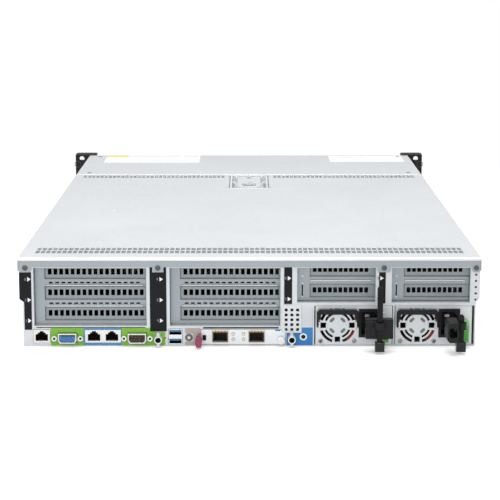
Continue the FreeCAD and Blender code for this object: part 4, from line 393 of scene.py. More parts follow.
def finishes():
    """All materials of the server by name."""
    c = bpy.context.scene.server_finishes
    usb = span("usb_ports")
    nickel = tuple(c.nickel)
    return {
        # The near-white edge colours of the cover, chassis, rail, bracket and dark screw steel
        # paint a highlight along the edges, mixed with scuffing.
        "cover": finish("Cover sheet", c.cover, 0.42, 0.35, variation=0.05, scale=420.0,
                        stretch=(1.0, 0.25, 1.0), bump=0.02, wear=0.7, worn=(0.97, 0.97, 0.97),
                        width=0.7),
        "chassis": finish("Chassis sheet", c.chassis, 0.40, 0.35, variation=0.08, wear=0.8,
                          worn=(0.97, 0.97, 0.97), width=0.5),
        "rail": finish("Top rail sheet", c.rail, 0.40, 0.45, variation=0.07,
                       stretch=(0.3, 1.0, 1.0),
                       worn=(0.8, 0.81, 0.82), width=0.4),
        "bracket": finish("Bracket sheet", c.bracket, 0.38, 0.55, variation=0.10,
                          worn=(0.85, 0.87, 0.88), wear=0.6, width=0.5),
        "slot_cover": finish("Slot cover sheet", c.slot_cover, 0.36, 0.55, variation=0.10,
                             worn=(0.6, 0.62, 0.63), width=0.3),
        "nickel": finish("Nickel plate", nickel, 0.28, 0.85, variation=0.08, scale=900.0),
        # Black zone inside the USB shell: painted shade in the port mouths.
        "usb_shell": finish("Nickel port shell with painted shade", nickel, 0.28, 0.85, scale=900.0, zones=[
            ((usb[0] + 0.3, usb[2] + 0.7, usb[4] + 0.3), (usb[1] - 0.3, usb[3] + 1.0, usb[5] - 0.3),
             (0.003, 0.003, 0.0035))]),
        # Black zone inside and round the network jack mouths: painted shade in the openings.
        "jack_shell": finish("Nickel jack shell with painted shade", nickel, 0.28, 0.85, scale=900.0, zones=[
            ((box[0] - 1.2, box[2] + 0.8, box[4] - 1.2), (box[1] + 1.2, box[3] + 2.5, box[5] + 4.2),
             (0.003, 0.003, 0.0035)) for box in map(opening, JACKS)]),
        # Black zone inside the module's cage mouths: painted shade in the cages.
        "module": finish("Module sheet with painted shade", (0.70, 0.715, 0.725), 0.34, 0.55, scale=900.0, zones=[
            ((box[0] - 0.5, box[2] + 1.6, box[4] - 0.5), (box[1] + 0.5, box[3] + 0.6, box[5] + 0.5),
             (0.004, 0.0035, 0.003)) for box in map(opening, MODULE_CAGES)]),
        "label": plastic("Label film", c.label, 0.55, wear=0.15, width=0.15,
                        specular=0.2),
        "mark": plastic("Label print", c.mark, 0.6, variation=0.05, wear=0.0),
        "faint_mark": plastic("Label figures", (0.42, 0.43, 0.45), 0.6, wear=0.0),
        "green": plastic("Green film", c.green, 0.42, variation=0.10, wear=0.1),
        "blue": plastic("Blue film", c.blue, 0.42, variation=0.08, wear=0.1),
        "power_blue": plastic("Power film", c.power_blue, 0.40, variation=0.08, wear=0.1),
        "maroon": plastic("Maroon plastic", c.maroon, 0.38, bump=0.05, wear=0.3),
        "latch": plastic("Latch plastic", c.latch, 0.36, bump=0.04, wear=0.2),
        "black": plastic("Black plastic", c.black, 0.42, bump=0.08, wear=0.25,
                        worn=(0.05, 0.05, 0.054), width=0.4, specular=0.22),
        "satin_black": finish("Satin black metal", (0.03, 0.031, 0.034), 0.38, 0.3, variation=0.2,
                              worn=(0.22, 0.22, 0.23)),
        "rotor": plastic("Fan plastic", (0.012, 0.012, 0.014), 0.35, bump=0.03,
                        wear=0.1),
        "board": plastic("Circuit board", c.board, 0.34, variation=0.4, scale=300.0,
                        wear=0.1, worn=(0.3, 0.26, 0.12)),
        "fins": finish("Extruded aluminium", (0.68, 0.69, 0.71), 0.30, 0.9, variation=0.10,
                       stretch=(1.0, 0.12, 1.0)),
        "inside": plastic("Duct plastic", (0.028, 0.029, 0.032), 0.45, bump=0.06,
                         worn=(0.08, 0.08, 0.085)),
        "connector": plastic("Connector plastic", (0.012, 0.012, 0.013), 0.40,
                            wear=0.1),
        "gold": finish("Contact gold", (0.62, 0.40, 0.15), 0.28, 0.95, variation=0.1, wear=0.1),
        "dull_gold": finish("Pin gold", (0.20, 0.125, 0.055), 0.4, 0.8, variation=0.2, wear=0.1),
        "supply": finish("Supply sheet", c.chassis, 0.38, 0.4, variation=0.08, wear=0.6,
                         worn=(0.93, 0.93, 0.93), width=0.4, zones=[
                             ((-300, REAR - 60, -20), (300, REAR - 7.0, 90), tuple(c.black))]),
        "vent_mesh": finish("Vent mesh", (0.26, 0.27, 0.28), 0.45, 0.3, variation=0.5, scale=2600.0,
                            bump=0.3, wear=0.0),
        # Dark lines of painted shadow that stand for the shade cast by the slot window edges.
        "window_shadow": finish("Slot window painted shadow", (0.10, 0.108, 0.112), 0.5, 0.3, variation=0.2,
                         scale=1500.0, wear=0.2),
        # Light grey strips on the bracket ribs: a painted highlight where the pressed ribs catch
        # the light.
        "ridge": finish("Pressed ridge highlight", (0.62, 0.64, 0.65), 0.38, 0.3, variation=0.05, wear=0.3),
        "cage_rim": finish("Cage rim", (0.13, 0.085, 0.045), 0.35, 0.85, variation=0.3, wear=0.3),
        "button_grey": plastic("Button face", (0.33, 0.32, 0.31), 0.35, 0.2,
                              wear=0.1),
        "video_blue": plastic("Video insert", (0.045, 0.19, 0.50), 0.40, wear=0.1),
        # Dark blue for the video socket holes: painted shade in the holes.
        "socket_blue": plastic("Video socket hole shade", (0.012, 0.05, 0.15), 0.5, wear=0.0),
        "usb_blue": plastic("Port tongue", (0.005, 0.21, 0.50), 0.35, wear=0.1),
        "serial_brown": plastic("Serial insert", (0.05, 0.017, 0.010), 0.40, wear=0.1),
        "beige": plastic("Beige film", (0.42, 0.385, 0.36), 0.45, variation=0.06,
                        wear=0.1),
        "pale_film": plastic("Pale film", (0.62, 0.64, 0.67), 0.45, variation=0.05,
                            wear=0.1),
        "paper": plastic("Sticker paper", (0.86, 0.86, 0.87), 0.55, variation=0.03,
                        wear=0.0),
        "paper_print": plastic("Sticker print", (0.55, 0.57, 0.60), 0.6, wear=0.0),
        "yellow": plastic("Sticker yellow", (0.85, 0.68, 0.12), 0.5, wear=0.0),
        "light_pipe": plastic("Light pipe", (0.80, 0.77, 0.66), 0.18,
                             variation=0.05, coat=0.5, wear=0.0),
        "white": finish("White plate", (0.80, 0.81, 0.81), 0.35, 0.15, variation=0.05, wear=0.1),
        "guard": finish("Guard plate", (0.60, 0.63, 0.64), 0.36, 0.4, variation=0.08, wear=0.3),
        "oval": plastic("Guard slot bottom", (0.16, 0.17, 0.17), 0.5, wear=0.0),
        "dark_ring": finish("Dark ring", (0.10, 0.095, 0.095), 0.35, 0.3, variation=0.1, wear=0.3),
        # Near-black fill for holes and slots that are not cut: painted shade of their depth.
        "hole": plastic("Painted hole shade", (0.003, 0.003, 0.0035), 0.7, variation=0.1,
                       wear=0.0),
        "dark_steel": finish("Dark screw steel", (0.11, 0.115, 0.12), 0.36, 0.7, variation=0.15,
                             wear=0.7,
                             worn=(0.42, 0.43, 0.44), width=0.2),
        "steel_screw": finish("Screw steel", (0.30, 0.31, 0.32), 0.32, 0.7, variation=0.12,
                              wear=0.5,
                              width=0.15),
        "pale_plastic": plastic("Clip plastic", (0.62, 0.62, 0.60), 0.4, wear=0.1),
        "chip": plastic("Chip plastic", (0.016, 0.016, 0.018), 0.5, wear=0.15),
        "red_wire": plastic("Red wire", (0.42, 0.02, 0.015), 0.4, wear=0.0),
    }


# ---------------------------------------------------------------- mesh building

class Shape:
    """Collects a piece's mesh in millimetres."""

    def __init__(self):
        self.mesh = bmesh.new()

    def prism(self, points, axis, start, end):
        """An outline pushed along an axis: Y takes (x, z), X takes (y, z), Z takes (x, y)."""
        def place(u, v, w):
            return {"Y": (u, w, v), "X": (w, u, v), "Z": (u, v, w)}[axis]
        low = [self.mesh.verts.new(place(u, v, start)) for u, v in points]
        high = [self.mesh.verts.new(place(u, v, end)) for u, v in points]
        count = len(points)
        self.mesh.faces.new(low)
        self.mesh.faces.new(high[::-1])
        for i in range(count):
            self.mesh.faces.new((low[i], high[i], high[(i + 1) % count], low[(i + 1) % count]))
        return self

    def box(self, x0, x1, y0, y1, z0, z1):
        """A block between two edges on each axis; the X edges may come in either order."""
        x0, x1 = sorted((x0, x1))
        return self.prism([(x0, z0), (x1, z0), (x1, z1), (x0, z1)], "Y", y0, y1)

    def lathe(self, profile, axis, centre, sides=32):
        """Turns (radius, along) points about an axis through a centre; ends on the axis close."""
        rings = []
        for radius, along in profile:
            ring = []
            for i in range(sides):
                turn = 2 * math.pi * i / sides
                u, v = radius * math.cos(turn), radius * math.sin(turn)
                x, y, z = centre
                ring.append(self.mesh.verts.new({
                    "Y": (x + u, y + along, z + v), "Z": (x + u, y + v, z + along),
                    "X": (x + along, y + u, z + v)}[axis]))
            rings.append(ring)
        for a, b in zip(rings, rings[1:]):
            for i in range(sides):
                self.mesh.faces.new((a[i], b[i], b[(i + 1) % sides], a[(i + 1) % sides]))
        self.mesh.faces.new(rings[0][::-1])
        self.mesh.faces.new(rings[-1])
        return self

    def ring(self, centre, inner, outer, y0, y1, sides=32):
        """A flat washer across Y."""
        profile = [(inner, y0), (outer, y0), (outer, y1), (inner, y1)]
        rings = []
        for radius, along in profile:
            rings.append([self.mesh.verts.new((
                centre[0] + radius * math.cos(2 * math.pi * i / sides), along,
                centre[1] + radius * math.sin(2 * math.pi * i / sides))) for i in range(sides)])
        for k in range(4):
            a, b = rings[k], rings[(k + 1) % 4]
            for i in range(sides):
                self.mesh.faces.new((a[i], b[i], b[(i + 1) % sides], a[(i + 1) % sides]))
        return self

    def piece(self, name, material, body="chassis", slot=None, bevel=0.12, segments=2, angle=35):
        bmesh.ops.recalc_face_normals(self.mesh, faces=self.mesh.faces)
        bmesh.ops.scale(self.mesh, vec=(MM, MM, MM), verts=self.mesh.verts)
        data = bpy.data.meshes.new(name)
        self.mesh.to_mesh(data)
        self.mesh.free()
        data.shade_smooth()
        made = bpy.data.objects.new(name, data)
        bpy.context.scene.collection.objects.link(made)
        data.materials.append(material)
        if bevel:
            rounded = made.modifiers.new("Rounded edges", "BEVEL")
            rounded.width = bevel * MM
            rounded.segments = segments
            rounded.limit_method = "ANGLE"
            rounded.angle_limit = math.radians(angle)
            rounded.harden_normals = True
        else:
            data.shade_flat()
        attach(made, body)
        return made


def shapes(count):
    """Empty shapes, one for each piece."""
    return [Shape() for _ in range(count)]


def cross_head(shape, place, radius, height, facing=-1, arm=0.5, depth=0.5):
    """A screw head across Y with a cross recess; facing is the way it looks."""
    x, y, z = place
    sides = 28

    def ring(r, along):
        return [shape.mesh.verts.new((x + r * math.cos(2 * math.pi * i / sides), y + facing * along,
                                      z + r * math.sin(2 * math.pi * i / sides)))
                for i in range(sides)]
    rings = [ring(radius, 0), ring(radius, height * 0.45), ring(radius * 0.88, height * 0.85),
             ring(radius * 0.7, height)]
    shape.mesh.faces.new(rings[0])
    for low, high in zip(rings, rings[1:]):
        for i in range(sides):
            shape.mesh.faces.new((low[i], low[(i + 1) % sides], high[(i + 1) % sides], high[i]))
    long, half = radius * arm, radius * 0.14
    cross = [(long, half), (half, half), (half, long), (-half, long), (-half, half), (-long, half),
             (-long, -half), (-half, -half), (-half, -long), (half, -long), (half, -half),
             (long, -half)]
    rim = [shape.mesh.verts.new((x + u, y + facing * height, z + v)) for u, v in cross]
    floor = [shape.mesh.verts.new((x + u * 0.8, y + facing * height * (1 - depth), z + v * 0.8))
             for u, v in cross]
    edges = [shape.mesh.edges.new((rim[i], rim[(i + 1) % 12])) for i in range(12)]
    outer = [shape.mesh.edges.get((rings[-1][i], rings[-1][(i + 1) % sides])) for i in range(sides)]
    bmesh.ops.bridge_loops(shape.mesh, edges=edges + outer)
    for i in range(12):
        shape.mesh.faces.new((rim[i], rim[(i + 1) % 12], floor[(i + 1) % 12], floor[i]))
    shape.mesh.faces.new(floor)


def film(shape, x0, x1, z0, z1, y, thickness, holes=()):
    """A thin sheet on a rear face at y, with rectangular holes (x0, x1, z0, z1)."""
    xs = sorted({x0, x1, *[v for hole in holes for v in hole[:2] if x0 < v < x1]})
    zs = sorted({z0, z1, *[v for hole in holes for v in hole[2:] if z0 < v < z1]})
    for a, b in zip(xs, xs[1:]):
        for c, d in zip(zs, zs[1:]):
            x, z = middle(a, b), middle(c, d)
            if not any(h[0] < x < h[1] and h[2] < z < h[3] for h in holes):
                shape.box(a, b, y - thickness, y, c, d)


SEGMENTS = {1: "bc", 2: "abged", 3: "abgcd", 4: "fgbc", 5: "afgcd", 6: "afgedc", 7: "abc",
            8: "abcdefg", 9: "abcdfg", 10: "bc"}


def digit(shape, number, x, z, height, y0, y1):
    """A plain number drawn with straight bars."""
    wide, bar = height * 0.52, height * 0.15
    places = {"a": (0, wide, height - bar, height),
              "g": (0, wide, (height - bar) / 2, (height + bar) / 2),
              "d": (0, wide, 0, bar), "f": (0, bar, height / 2, height),
              "b": (wide - bar, wide, height / 2, height),
              "e": (0, bar, 0, height / 2), "c": (wide - bar, wide, 0, height / 2)}
    for name in SEGMENTS[number]:
        u0, u1, v0, v1 = places[name]
        shape.box(x + u0, x + u1, y0, y1, z - height / 2 + v0, z - height / 2 + v1)


def paint(names, material):
    """Gives CAD sub-parts a material through their objects' material slots."""
    for name in names:
        part = frame["nodes"][name]
        if not part.material_slots:
            part.data.materials.append(material)
        for holder in part.material_slots:
            holder.link = "OBJECT"
            holder.material = material


# ---------------------------------------------------------------- operators

class ServerStep(bpy.types.Operator):
    """One step of dressing the server"""

    bl_idname = "server.step"
    bl_label = "Server step"
    bl_options = {"REGISTER", "UNDO"}

    def execute(self, context):
        self.build(finishes(), context.scene.server_sizes)
        return {"FINISHED"}

    def build(self, stuff, sizes):
        raise NotImplementedError


class PaintChassis(ServerStep):
    """Gives the sheet metal and plastic sub-parts their finishes"""

    bl_idname = "server.paint_chassis"
    bl_label = "Paint the chassis"

    def build(self, stuff, sizes):
        paint(["base_pan", "rear_panel", "guide_posts", "psu_cage", "drive_cage"], stuff["chassis"])
        paint(["top_cover", "front_cover"], stuff["cover"])
        paint(["rear_top_rail"], stuff["rail"])
        paint(["riser_cage_left", "riser_cage_middle", "riser_cage_right"], stuff["bracket"])
        paint(["slot_covers"], stuff["slot_cover"])
        paint(["rear_screws", "dsub_ports", "ocp_thumbscrew"], stuff["nickel"])
        paint(["lan_ports"], stuff["jack_shell"])
        paint(["ocp_module"], stuff["module"])
        paint(["usb_ports"], stuff["usb_shell"])
        paint(["label_strips"], stuff["label"])
        paint(["uid_button"], stuff["button_grey"])
        paint(["rear_power_button", "front_power_button", "left_ear", "right_ear"], stuff["black"])
        paint(["ocp_pull_tab"], stuff["maroon"])
        paint(["latch_handle"], stuff["cover"])
        paint(["riser_boards", "motherboard", "memory_modules", "drive_backplane"], stuff["board"])
        paint(["cpu_heatsinks"], stuff["fins"])
        paint(["air_duct", "fan_cage"], stuff["inside"])
        paint(["drive_blanks"], stuff["satin_black"])
        for i in range(1, 5):
            paint([f"drive_{i}"], stuff["satin_black"])
            paint([f"drive_{i}_lever"], stuff["maroon"])
            paint([f"fan_rotor_{i}"], stuff["rotor"])
        for n in (1, 2):
            paint([f"psu_{n}_case"], stuff["supply"])
            paint([f"psu_{n}_fan"], stuff["rotor"])
            paint([f"psu_{n}_inlet", f"psu_{n}_handle", f"psu_{n}_strap", f"psu_{n}_clamp"],
                  stuff["black"])
            paint([f"psu_{n}_latch"], stuff["latch"])


class PrintSlotMarks(ServerStep):
    """Arrows and plain numbers beside the expansion slots"""

    bl_idname = "server.print_slot_marks"
    bl_label = "Print the slot marks"

    def build(self, stuff, sizes):
        face = span("label_strips")[2]
        y0, y1 = face - 0.05, face + 0.02
        left, center, right = (span(f"riser_cage_{n}") for n in ("left", "middle", "right"))
        marks, figures = shapes(2)
        tall = sizes.arrow / MM
        number = 1
        small_gap = right[0] + (right[1] - right[0]) * 0.5
        for tip, levels in ((left[0] - 2.7, SLOTS), (center[0] - 6.6, SLOTS),
                            (right[0] - 6.2, SMALL_SLOTS), (small_gap - 0.2, SMALL_SLOTS)):
            for level in levels:
                z = level - 5.1 if levels is SLOTS else level - 6.5
                marks.prism([(tip - 3.3, z - tall / 2), (tip, z), (tip - 3.3, z + tall / 2)], "Y",
                            y0, y1)
                digit(figures, min(number, 9), tip - 6.0, z, 2.5, y0, y1)
                number += 1
        figures.piece("slot_numbers", stuff["faint_mark"], bevel=0)
        marks.piece("slot_marks", stuff["mark"], bevel=0)


class DressBays(ServerStep):
    """Slot bays: pressed ribs on the brackets coloured as a painted highlight, dark lines of
    painted shadow round the slot windows, end dots, and strips of painted shade under the bay
    floors
    """

    bl_idname = "server.dress_bays"
    bl_label = "Dress the slot bays"

    def build(self, stuff, sizes):
        lit_ridges, window_shadows, dots, edges = shapes(4)
        half = WINDOW_HALF
        for name in ("left", "middle"):
            cage = span(f"riser_cage_{name}")
            face = cage[2] + 0.9
            x0, x1 = cage[0] + BAY_WINDOW, cage[1] - 1.2
            # Dark strips round each slot window: painted shadow of the window edges.
            for z in SLOTS:
                for level in (z - half - 0.35, z + half + 0.35):
                    window_shadows.box(x0 - 0.6, x1, face - 0.12, face + 0.05, level - 0.35, level + 0.35)
                window_shadows.box(x0 - 0.6, x0 + 0.1, face - 0.12, face + 0.05, z - half - 0.7,
                            z + half + 0.7)
            # Light strips along the pressed ribs: painted highlight.
            for z in SLOTS[:2]:
                rib = z + SLOT_PITCH / 2 - 2.6
                lit_ridges.box(x0 + 1.2, x1 - 2.4, face - 1.0, face - 0.85, rib - 0.5, rib + 0.5)
        cage = span("riser_cage_right")
        face = cage[2] + 0.9
        for start in (cage[0] - 1.5, cage[0] - 1.5 + SMALL_BAY_PITCH):
            x0, x1 = start + SMALL_WINDOW[0], start + SMALL_WINDOW[0] + SMALL_WINDOW[1]
            # Dark strips round each small slot window: painted shadow of the window edges.
            for z in SMALL_SLOTS:
                for level in (z - half - 0.35, z + half + 0.35):
                    window_shadows.box(x0 - 0.6, x1 + 0.6, face - 0.12, face + 0.05, level - 0.3,
                                level + 0.3)
                for x in (x0 - 0.35, x1 + 0.35):
                    window_shadows.box(x - 0.3, x + 0.3, face - 0.12, face + 0.05, z - half - 0.6,
                                z + half + 0.6)
                for level in (z - 6.1, z + 6.9):
                    dots.box(x0 - 8.6, x0 - 6.9, face - 0.15, face + 0.05, level - 0.5, level + 0.5)
            # Light strip along the pressed rib: painted highlight.
            rib = SMALL_SLOTS[0] + SLOT_PITCH / 2
            lit_ridges.box(x0 + 0.2, x1 - 4.2, face - 1.0, face - 0.85, rib - 0.6, rib + 0.6)
        # Black strips under the bay floors: painted shade in the gap below each bay.
        bay_floor = span("riser_cage_left")[4] - 0.1
        for x0, x1, height in (
                (span("riser_cage_left")[0], span("riser_cage_left")[1], 0.9),
                (span("riser_cage_middle")[0] + 30, span("riser_cage_middle")[1] - 1, 1.5)):
            edges.box(x0 + 1.5, x1 - 1.0, REAR - 0.06, REAR + 0.02, bay_floor - height, bay_floor)
        lit_ridges.piece("bay_ridge_highlights", stuff["ridge"], bevel=0)
        window_shadows.piece("slot_window_shadows", stuff["window_shadow"], bevel=0)
        dots.piece("bay_end_dots", stuff["white"], bevel=0)
        edges.piece("bay_floor_gap_shade", stuff["hole"], bevel=0)


class StickPortFilms(ServerStep):
    """Coloured films round the rear connectors"""

    bl_idname = "server.stick_port_films"
    bl_label = "Stick the port films"

    def build(self, stuff, sizes):
        thick = sizes.film / MM
        low, high = 0.7, span("riser_cage_left")[4] - 0.9
        jack_a, jack_b = opening("network_jack_a"), opening("network_jack_b")
        lan = span("lan_ports")
        post = span("guide_posts")
        post_x = post[0] + 3.7
        usb = span("usb_ports")
        shell = [(x - 9.0, x + 9.0, PORT_LEVEL - 5.0, PORT_LEVEL + 5.0) for x in (VGA_X, SERIAL_X)]
        twin = (jack_a[0] - 3.1, jack_b[1] + 3.1, lan[4] - 0.35, lan[5] + 0.35)
        seam = VGA_X + 15.4
        green = Shape()
        film(green, VGA_X - 16.3, seam, low, high, REAR, thick, [shell[0], twin])
        film(green, SERIAL_X - 15.1, post_x - 2.1, low, high, REAR, thick, [shell[1]])
        film(green, post_x + 2.1, usb[0] - 0.9, low, high - 3.6, REAR, thick)
        green.piece("green_films", stuff["green"], bevel=0)
        blue = Shape()
        film(blue, seam, SERIAL_X - 15.1, low, high, REAR, thick, [twin])
        blue.piece("blue_film", stuff["blue"], bevel=0)
        beige = Shape()
        uid = span("uid_button")
        module = span("ocp_module")
        film(beige, usb[1] + 0.4, module[0] - 0.8, low + 0.1, high - 0.2, REAR, thick,
             [(uid[0] - 0.1, uid[1] + 0.1, uid[4] - 0.1, uid[5] + 0.1)])
        beige.piece("button_film", stuff["beige"], bevel=0)
        power = span("rear_power_button")
        power_x, power_z = middle(*power[:2]), middle(*power[4:])
        supplies = span("psu_cage")[0]
        gap = power[1] - power[0]
        vent = span("rear_panel")[2]
        plate = Shape()
        film(plate, post[1] - 8.7, supplies - 0.3, low, 12.9, REAR, thick,
             [(power_x - gap / 2, power_x + gap / 2, power_z - gap / 2, power_z + gap / 2),
              (post[1] - 5.2, post[1] - 2.2, 0, 20)])
        film(plate, post[1] + 6.0, supplies - 0.3, 12.9, 18.2, REAR, thick)
        plate.piece("power_film", stuff["power_blue"], bevel=0)
        pale = Shape()
        film(pale, post[1] + 6.0, supplies - 0.3, 18.9, 37.4, REAR, thick)
        pale.piece("blank_film", stuff["pale_film"], bevel=0)
        rings = Shape()
        rings.ring((middle(*uid[:2]), PORT_LEVEL), 3.12, 3.7, REAR - 0.3, REAR, 40)
        rings.piece("identification_ring", stuff["dark_ring"], bevel=0.05)
        rings = Shape()
        rings.ring((middle(*uid[:2]), PORT_LEVEL), 1.9, 2.8, uid[2] - 0.12, uid[2] + 0.05, 36)
        rings.piece("identification_button_ring", stuff["dark_ring"], "uid_button", bevel=0.04)
        # White dot at the button's centre: a painted highlight on the domed face.
        dot = Shape()
        dot.lathe([(1.1, 0), (1.1, -0.1), (0.8, -0.16)], "Y",
                  (middle(*uid[:2]), uid[2], PORT_LEVEL), 24)
        dot.piece("identification_button_highlight", stuff["white"], "uid_button", bevel=0)
        rings = Shape()
        rings.ring((power_x, power_z), 2.15, 3.5, vent - 0.3, REAR, 36)
        rings.piece("power_ring", stuff["white"], bevel=0.1)
        # Black disc on the film: painted shade of the reset pinhole.
        reset = Shape()
        reset.lathe([(0.75, 0), (0.75, -0.2)], "Y", (post_x + 6.3, REAR, PORT_LEVEL - 0.6), 16)
        reset.piece("reset_hole", stuff["hole"], bevel=0)


class FitConnectors(ServerStep):
    """Inserts, tongues and contacts of the rear connectors"""

    bl_idname = "server.fit_connectors"
    bl_label = "Fit the connector inserts"

    def build(self, stuff, sizes):
        dsub = span("dsub_ports")
        rim = dsub[2]
        low, high = PORT_LEVEL - 3.9, PORT_LEVEL + 3.6

        def insert(x, spare, z0, z1):
            return [(x - 5.9 + spare, z0), (x + 5.9 - spare, z0), (x + 7.6 - spare, z0 + 2.4),
                    (x + 7.6 - spare, z1), (x - 7.6 + spare, z1), (x - 7.6 + spare, z0 + 2.4)]
        video = Shape()
        video.prism(insert(VGA_X, 0.5, low + 0.4, high - 1.3), "Y", rim + 0.1, rim + 1.0)
        video.piece("video_insert", stuff["video_blue"], bevel=0.3)
        # Dark blue discs of the video holes: painted shade in the socket holes.
        holes = Shape()
        for row, count in enumerate((5, 5, 5)):
            for i in range(count):
                x = VGA_X + 2.29 * (i - 2) + (0.55 if row == 1 else -0.55)
                holes.lathe([(0.62, 0), (0.62, -0.03)], "Y",
                            (x, rim + 0.1, PORT_LEVEL + 1.0 - 1.85 * row), 12)
        holes.piece("video_holes", stuff["socket_blue"], bevel=0)
        shadow = Shape()
        shadow.prism([(VGA_X - 7.4, high - 1.1), (VGA_X + 7.4, high - 1.1),
                      (VGA_X + 7.4, high + 0.1),
                      (VGA_X - 7.4, high + 0.1)], "Y", rim + 0.7, rim + 1.0)
        shadow.piece("video_shadow_gap", stuff["hole"], bevel=0)
        serial = Shape()
        serial.prism(insert(SERIAL_X, 0.0, low + 0.1, high + 0.4), "Y", rim + 4.2, rim + 5.0)
        serial.piece("serial_insert", stuff["serial_brown"], bevel=0)
        pins = Shape()
        for count, z in ((5, PORT_LEVEL - 1.4), (4, PORT_LEVEL + 1.4)):
            for i in range(count):
                x = SERIAL_X + PIN_PITCH * (i - (count - 1) / 2)
                pins.lathe([(0.62, 4.1), (0.62, 0.6), (0.3, 0.2)], "Y", (x, rim, z), 14)
        pins.piece("serial_pins", stuff["dull_gold"], bevel=0)
        # Black discs in the jack screw posts: painted shade standing for the threaded bores.
        studs, bores = shapes(2)
        for x in (VGA_X - JACK_SCREW_X, VGA_X + JACK_SCREW_X,
                  SERIAL_X - JACK_SCREW_X, SERIAL_X + JACK_SCREW_X):
            studs.ring((x, PORT_LEVEL), 1.25, 2.55, rim + 0.3, rim + 0.75, 28)
            bores.lathe([(1.3, 0.64), (1.3, 0.58)], "Y", (x, rim, PORT_LEVEL), 20)
        studs.piece("jack_screw_rims", stuff["white"], bevel=0.12)
        bores.piece("jack_screw_bores", stuff["hole"], bevel=0)
        contacts, lamps, liners = shapes(3)
        for name in JACKS:
            x0, x1, y0, _, z0, z1 = opening(name)
            x = middle(x0, x1)
            for i in range(8):
                u = x + 1.02 * (i - 3.5)
                contacts.prism([(y0 + 4, z0 - 0.15), (y0 + 11, z0 + 2.2), (y0 + 11, z0 + 2.5),
                                (y0 + 4, z0 + 0.15)], "X", u - 0.18, u + 0.18)
            for side in (-1, 1):
                lamps.box(x + side * 4.2, x + side * 6.9, y0 + 0.35, y0 + 0.6, z1 + 2.2, z1 + 4.0)
                liners.box(x + side * 5.95, x + side * 7.3, y0 + 0.3, y0 + 0.6, z0 + 0.6, z0 + 4.8)
        contacts.piece("jack_contacts", stuff["gold"], bevel=0)
        lamps.piece("jack_lamps", stuff["light_pipe"], bevel=0.1)
        liners.piece("jack_spring_tabs", stuff["white"], bevel=0.1)
        usb = span("usb_ports")
        tongue = Shape()
        x = middle(*usb[:2])
        floor = usb[4]
        for z in (floor + 3.6, floor + usb[5] - usb[4] - 2.8):
            tongue.box(x - 5.1, x + 5.1, usb[2] + 0.7, usb[2] + 11.8, z - 0.12, z + 1.3)
        tongue.piece("usb_tongues", stuff["usb_blue"], bevel=0.15)
        contacts = Shape()
        for z in (floor + 3.6, floor + usb[5] - usb[4] - 2.8):
            for i in range(4):
                u = x + 2.3 * (i - 1.5)
                contacts.box(u - 0.45, u + 0.45, usb[2] + 1.6, usb[2] + 9, z - 0.2, z - 0.1)
        contacts.piece("usb_contacts", stuff["gold"], bevel=0)


class FitRearHardware(ServerStep):
    """Screws, post bores and rivets of the rear wall and the covers"""

    bl_idname = "server.fit_rear_hardware"
    bl_label = "Fit the rear hardware"

    def build(self, stuff, sizes):
        heads = span("rear_screws")
        level = middle(*heads[4:])
        radius = sizes.screw / MM
        left, center, right = (span(f"riser_cage_{n}") for n in ("left", "middle", "right"))
        xs = (heads[0] + radius, middle(left[1], center[0]), middle(*right[:2]), heads[1] - radius)
        screws = Shape()
        for x in xs:
            cross_head(screws, (x, heads[3], level), radius, heads[3] - heads[2])
        made = screws.piece("rear_screw_heads", stuff["dark_steel"], bevel=0)
        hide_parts("rear_screws")
        post = span("guide_posts")
        rims, plugs = shapes(2)
        for x in (post[0] + 3.7, post[1] - 3.7):
            z = PORT_LEVEL - 0.7
            rims.ring((x, z), 2.75, 3.65, post[2] - 0.12, post[2] + 0.3, 36)
            # Black end disc and sleeve in each guide post bore: painted shade of the bore's depth.
            plugs.lathe([(2.62, 7.4), (2.62, 7.2)], "Y", (x, post[2], z), 28)
            plugs.ring((x, z), 2.5, 2.68, post[2] + 0.35, post[2] + 7.2, 28)
        rims.piece("post_rims", stuff["white"], bevel=0.1)
        plugs.piece("post_bore_ends", stuff["hole"], bevel=0)
        pan = span("base_pan")
        rivets = Shape()
        for side in (-1, 1):
            x = (pan[1] - 3.4) * side
            for y in (-340, -240, -120, 0, 120, 240, 340):
                reach = side * 0.8
                rivets.lathe([(2.6, 0), (2.6, reach * 0.4), (1.5, reach)], "X", (x, y, RIVET_LEVEL),
                             18)
        rivets.piece("side_rivets", stuff["steel_screw"], bevel=0)
        screws = Shape()
        cover = span("front_cover")
        for x in (cover[0] + 16, cover[1] - 16):
            for y in (cover[2] + 14, cover[3] - 12):
                shape = Shape()
                cross_head(shape, (0, 0, 0), 2.6, 0.5)
                turn = Matrix.Rotation(math.radians(-90), 4, "X")
                bmesh.ops.transform(shape.mesh, matrix=Matrix.Translation((x, y, TOP)) @ turn,
                                    verts=shape.mesh.verts)
                data = bpy.data.meshes.new("screw")
                shape.mesh.to_mesh(data)
                shape.mesh.free()
                screws.mesh.from_mesh(data)
                bpy.data.meshes.remove(data)
        screws.piece("cover_screws", stuff["steel_screw"], bevel=0)


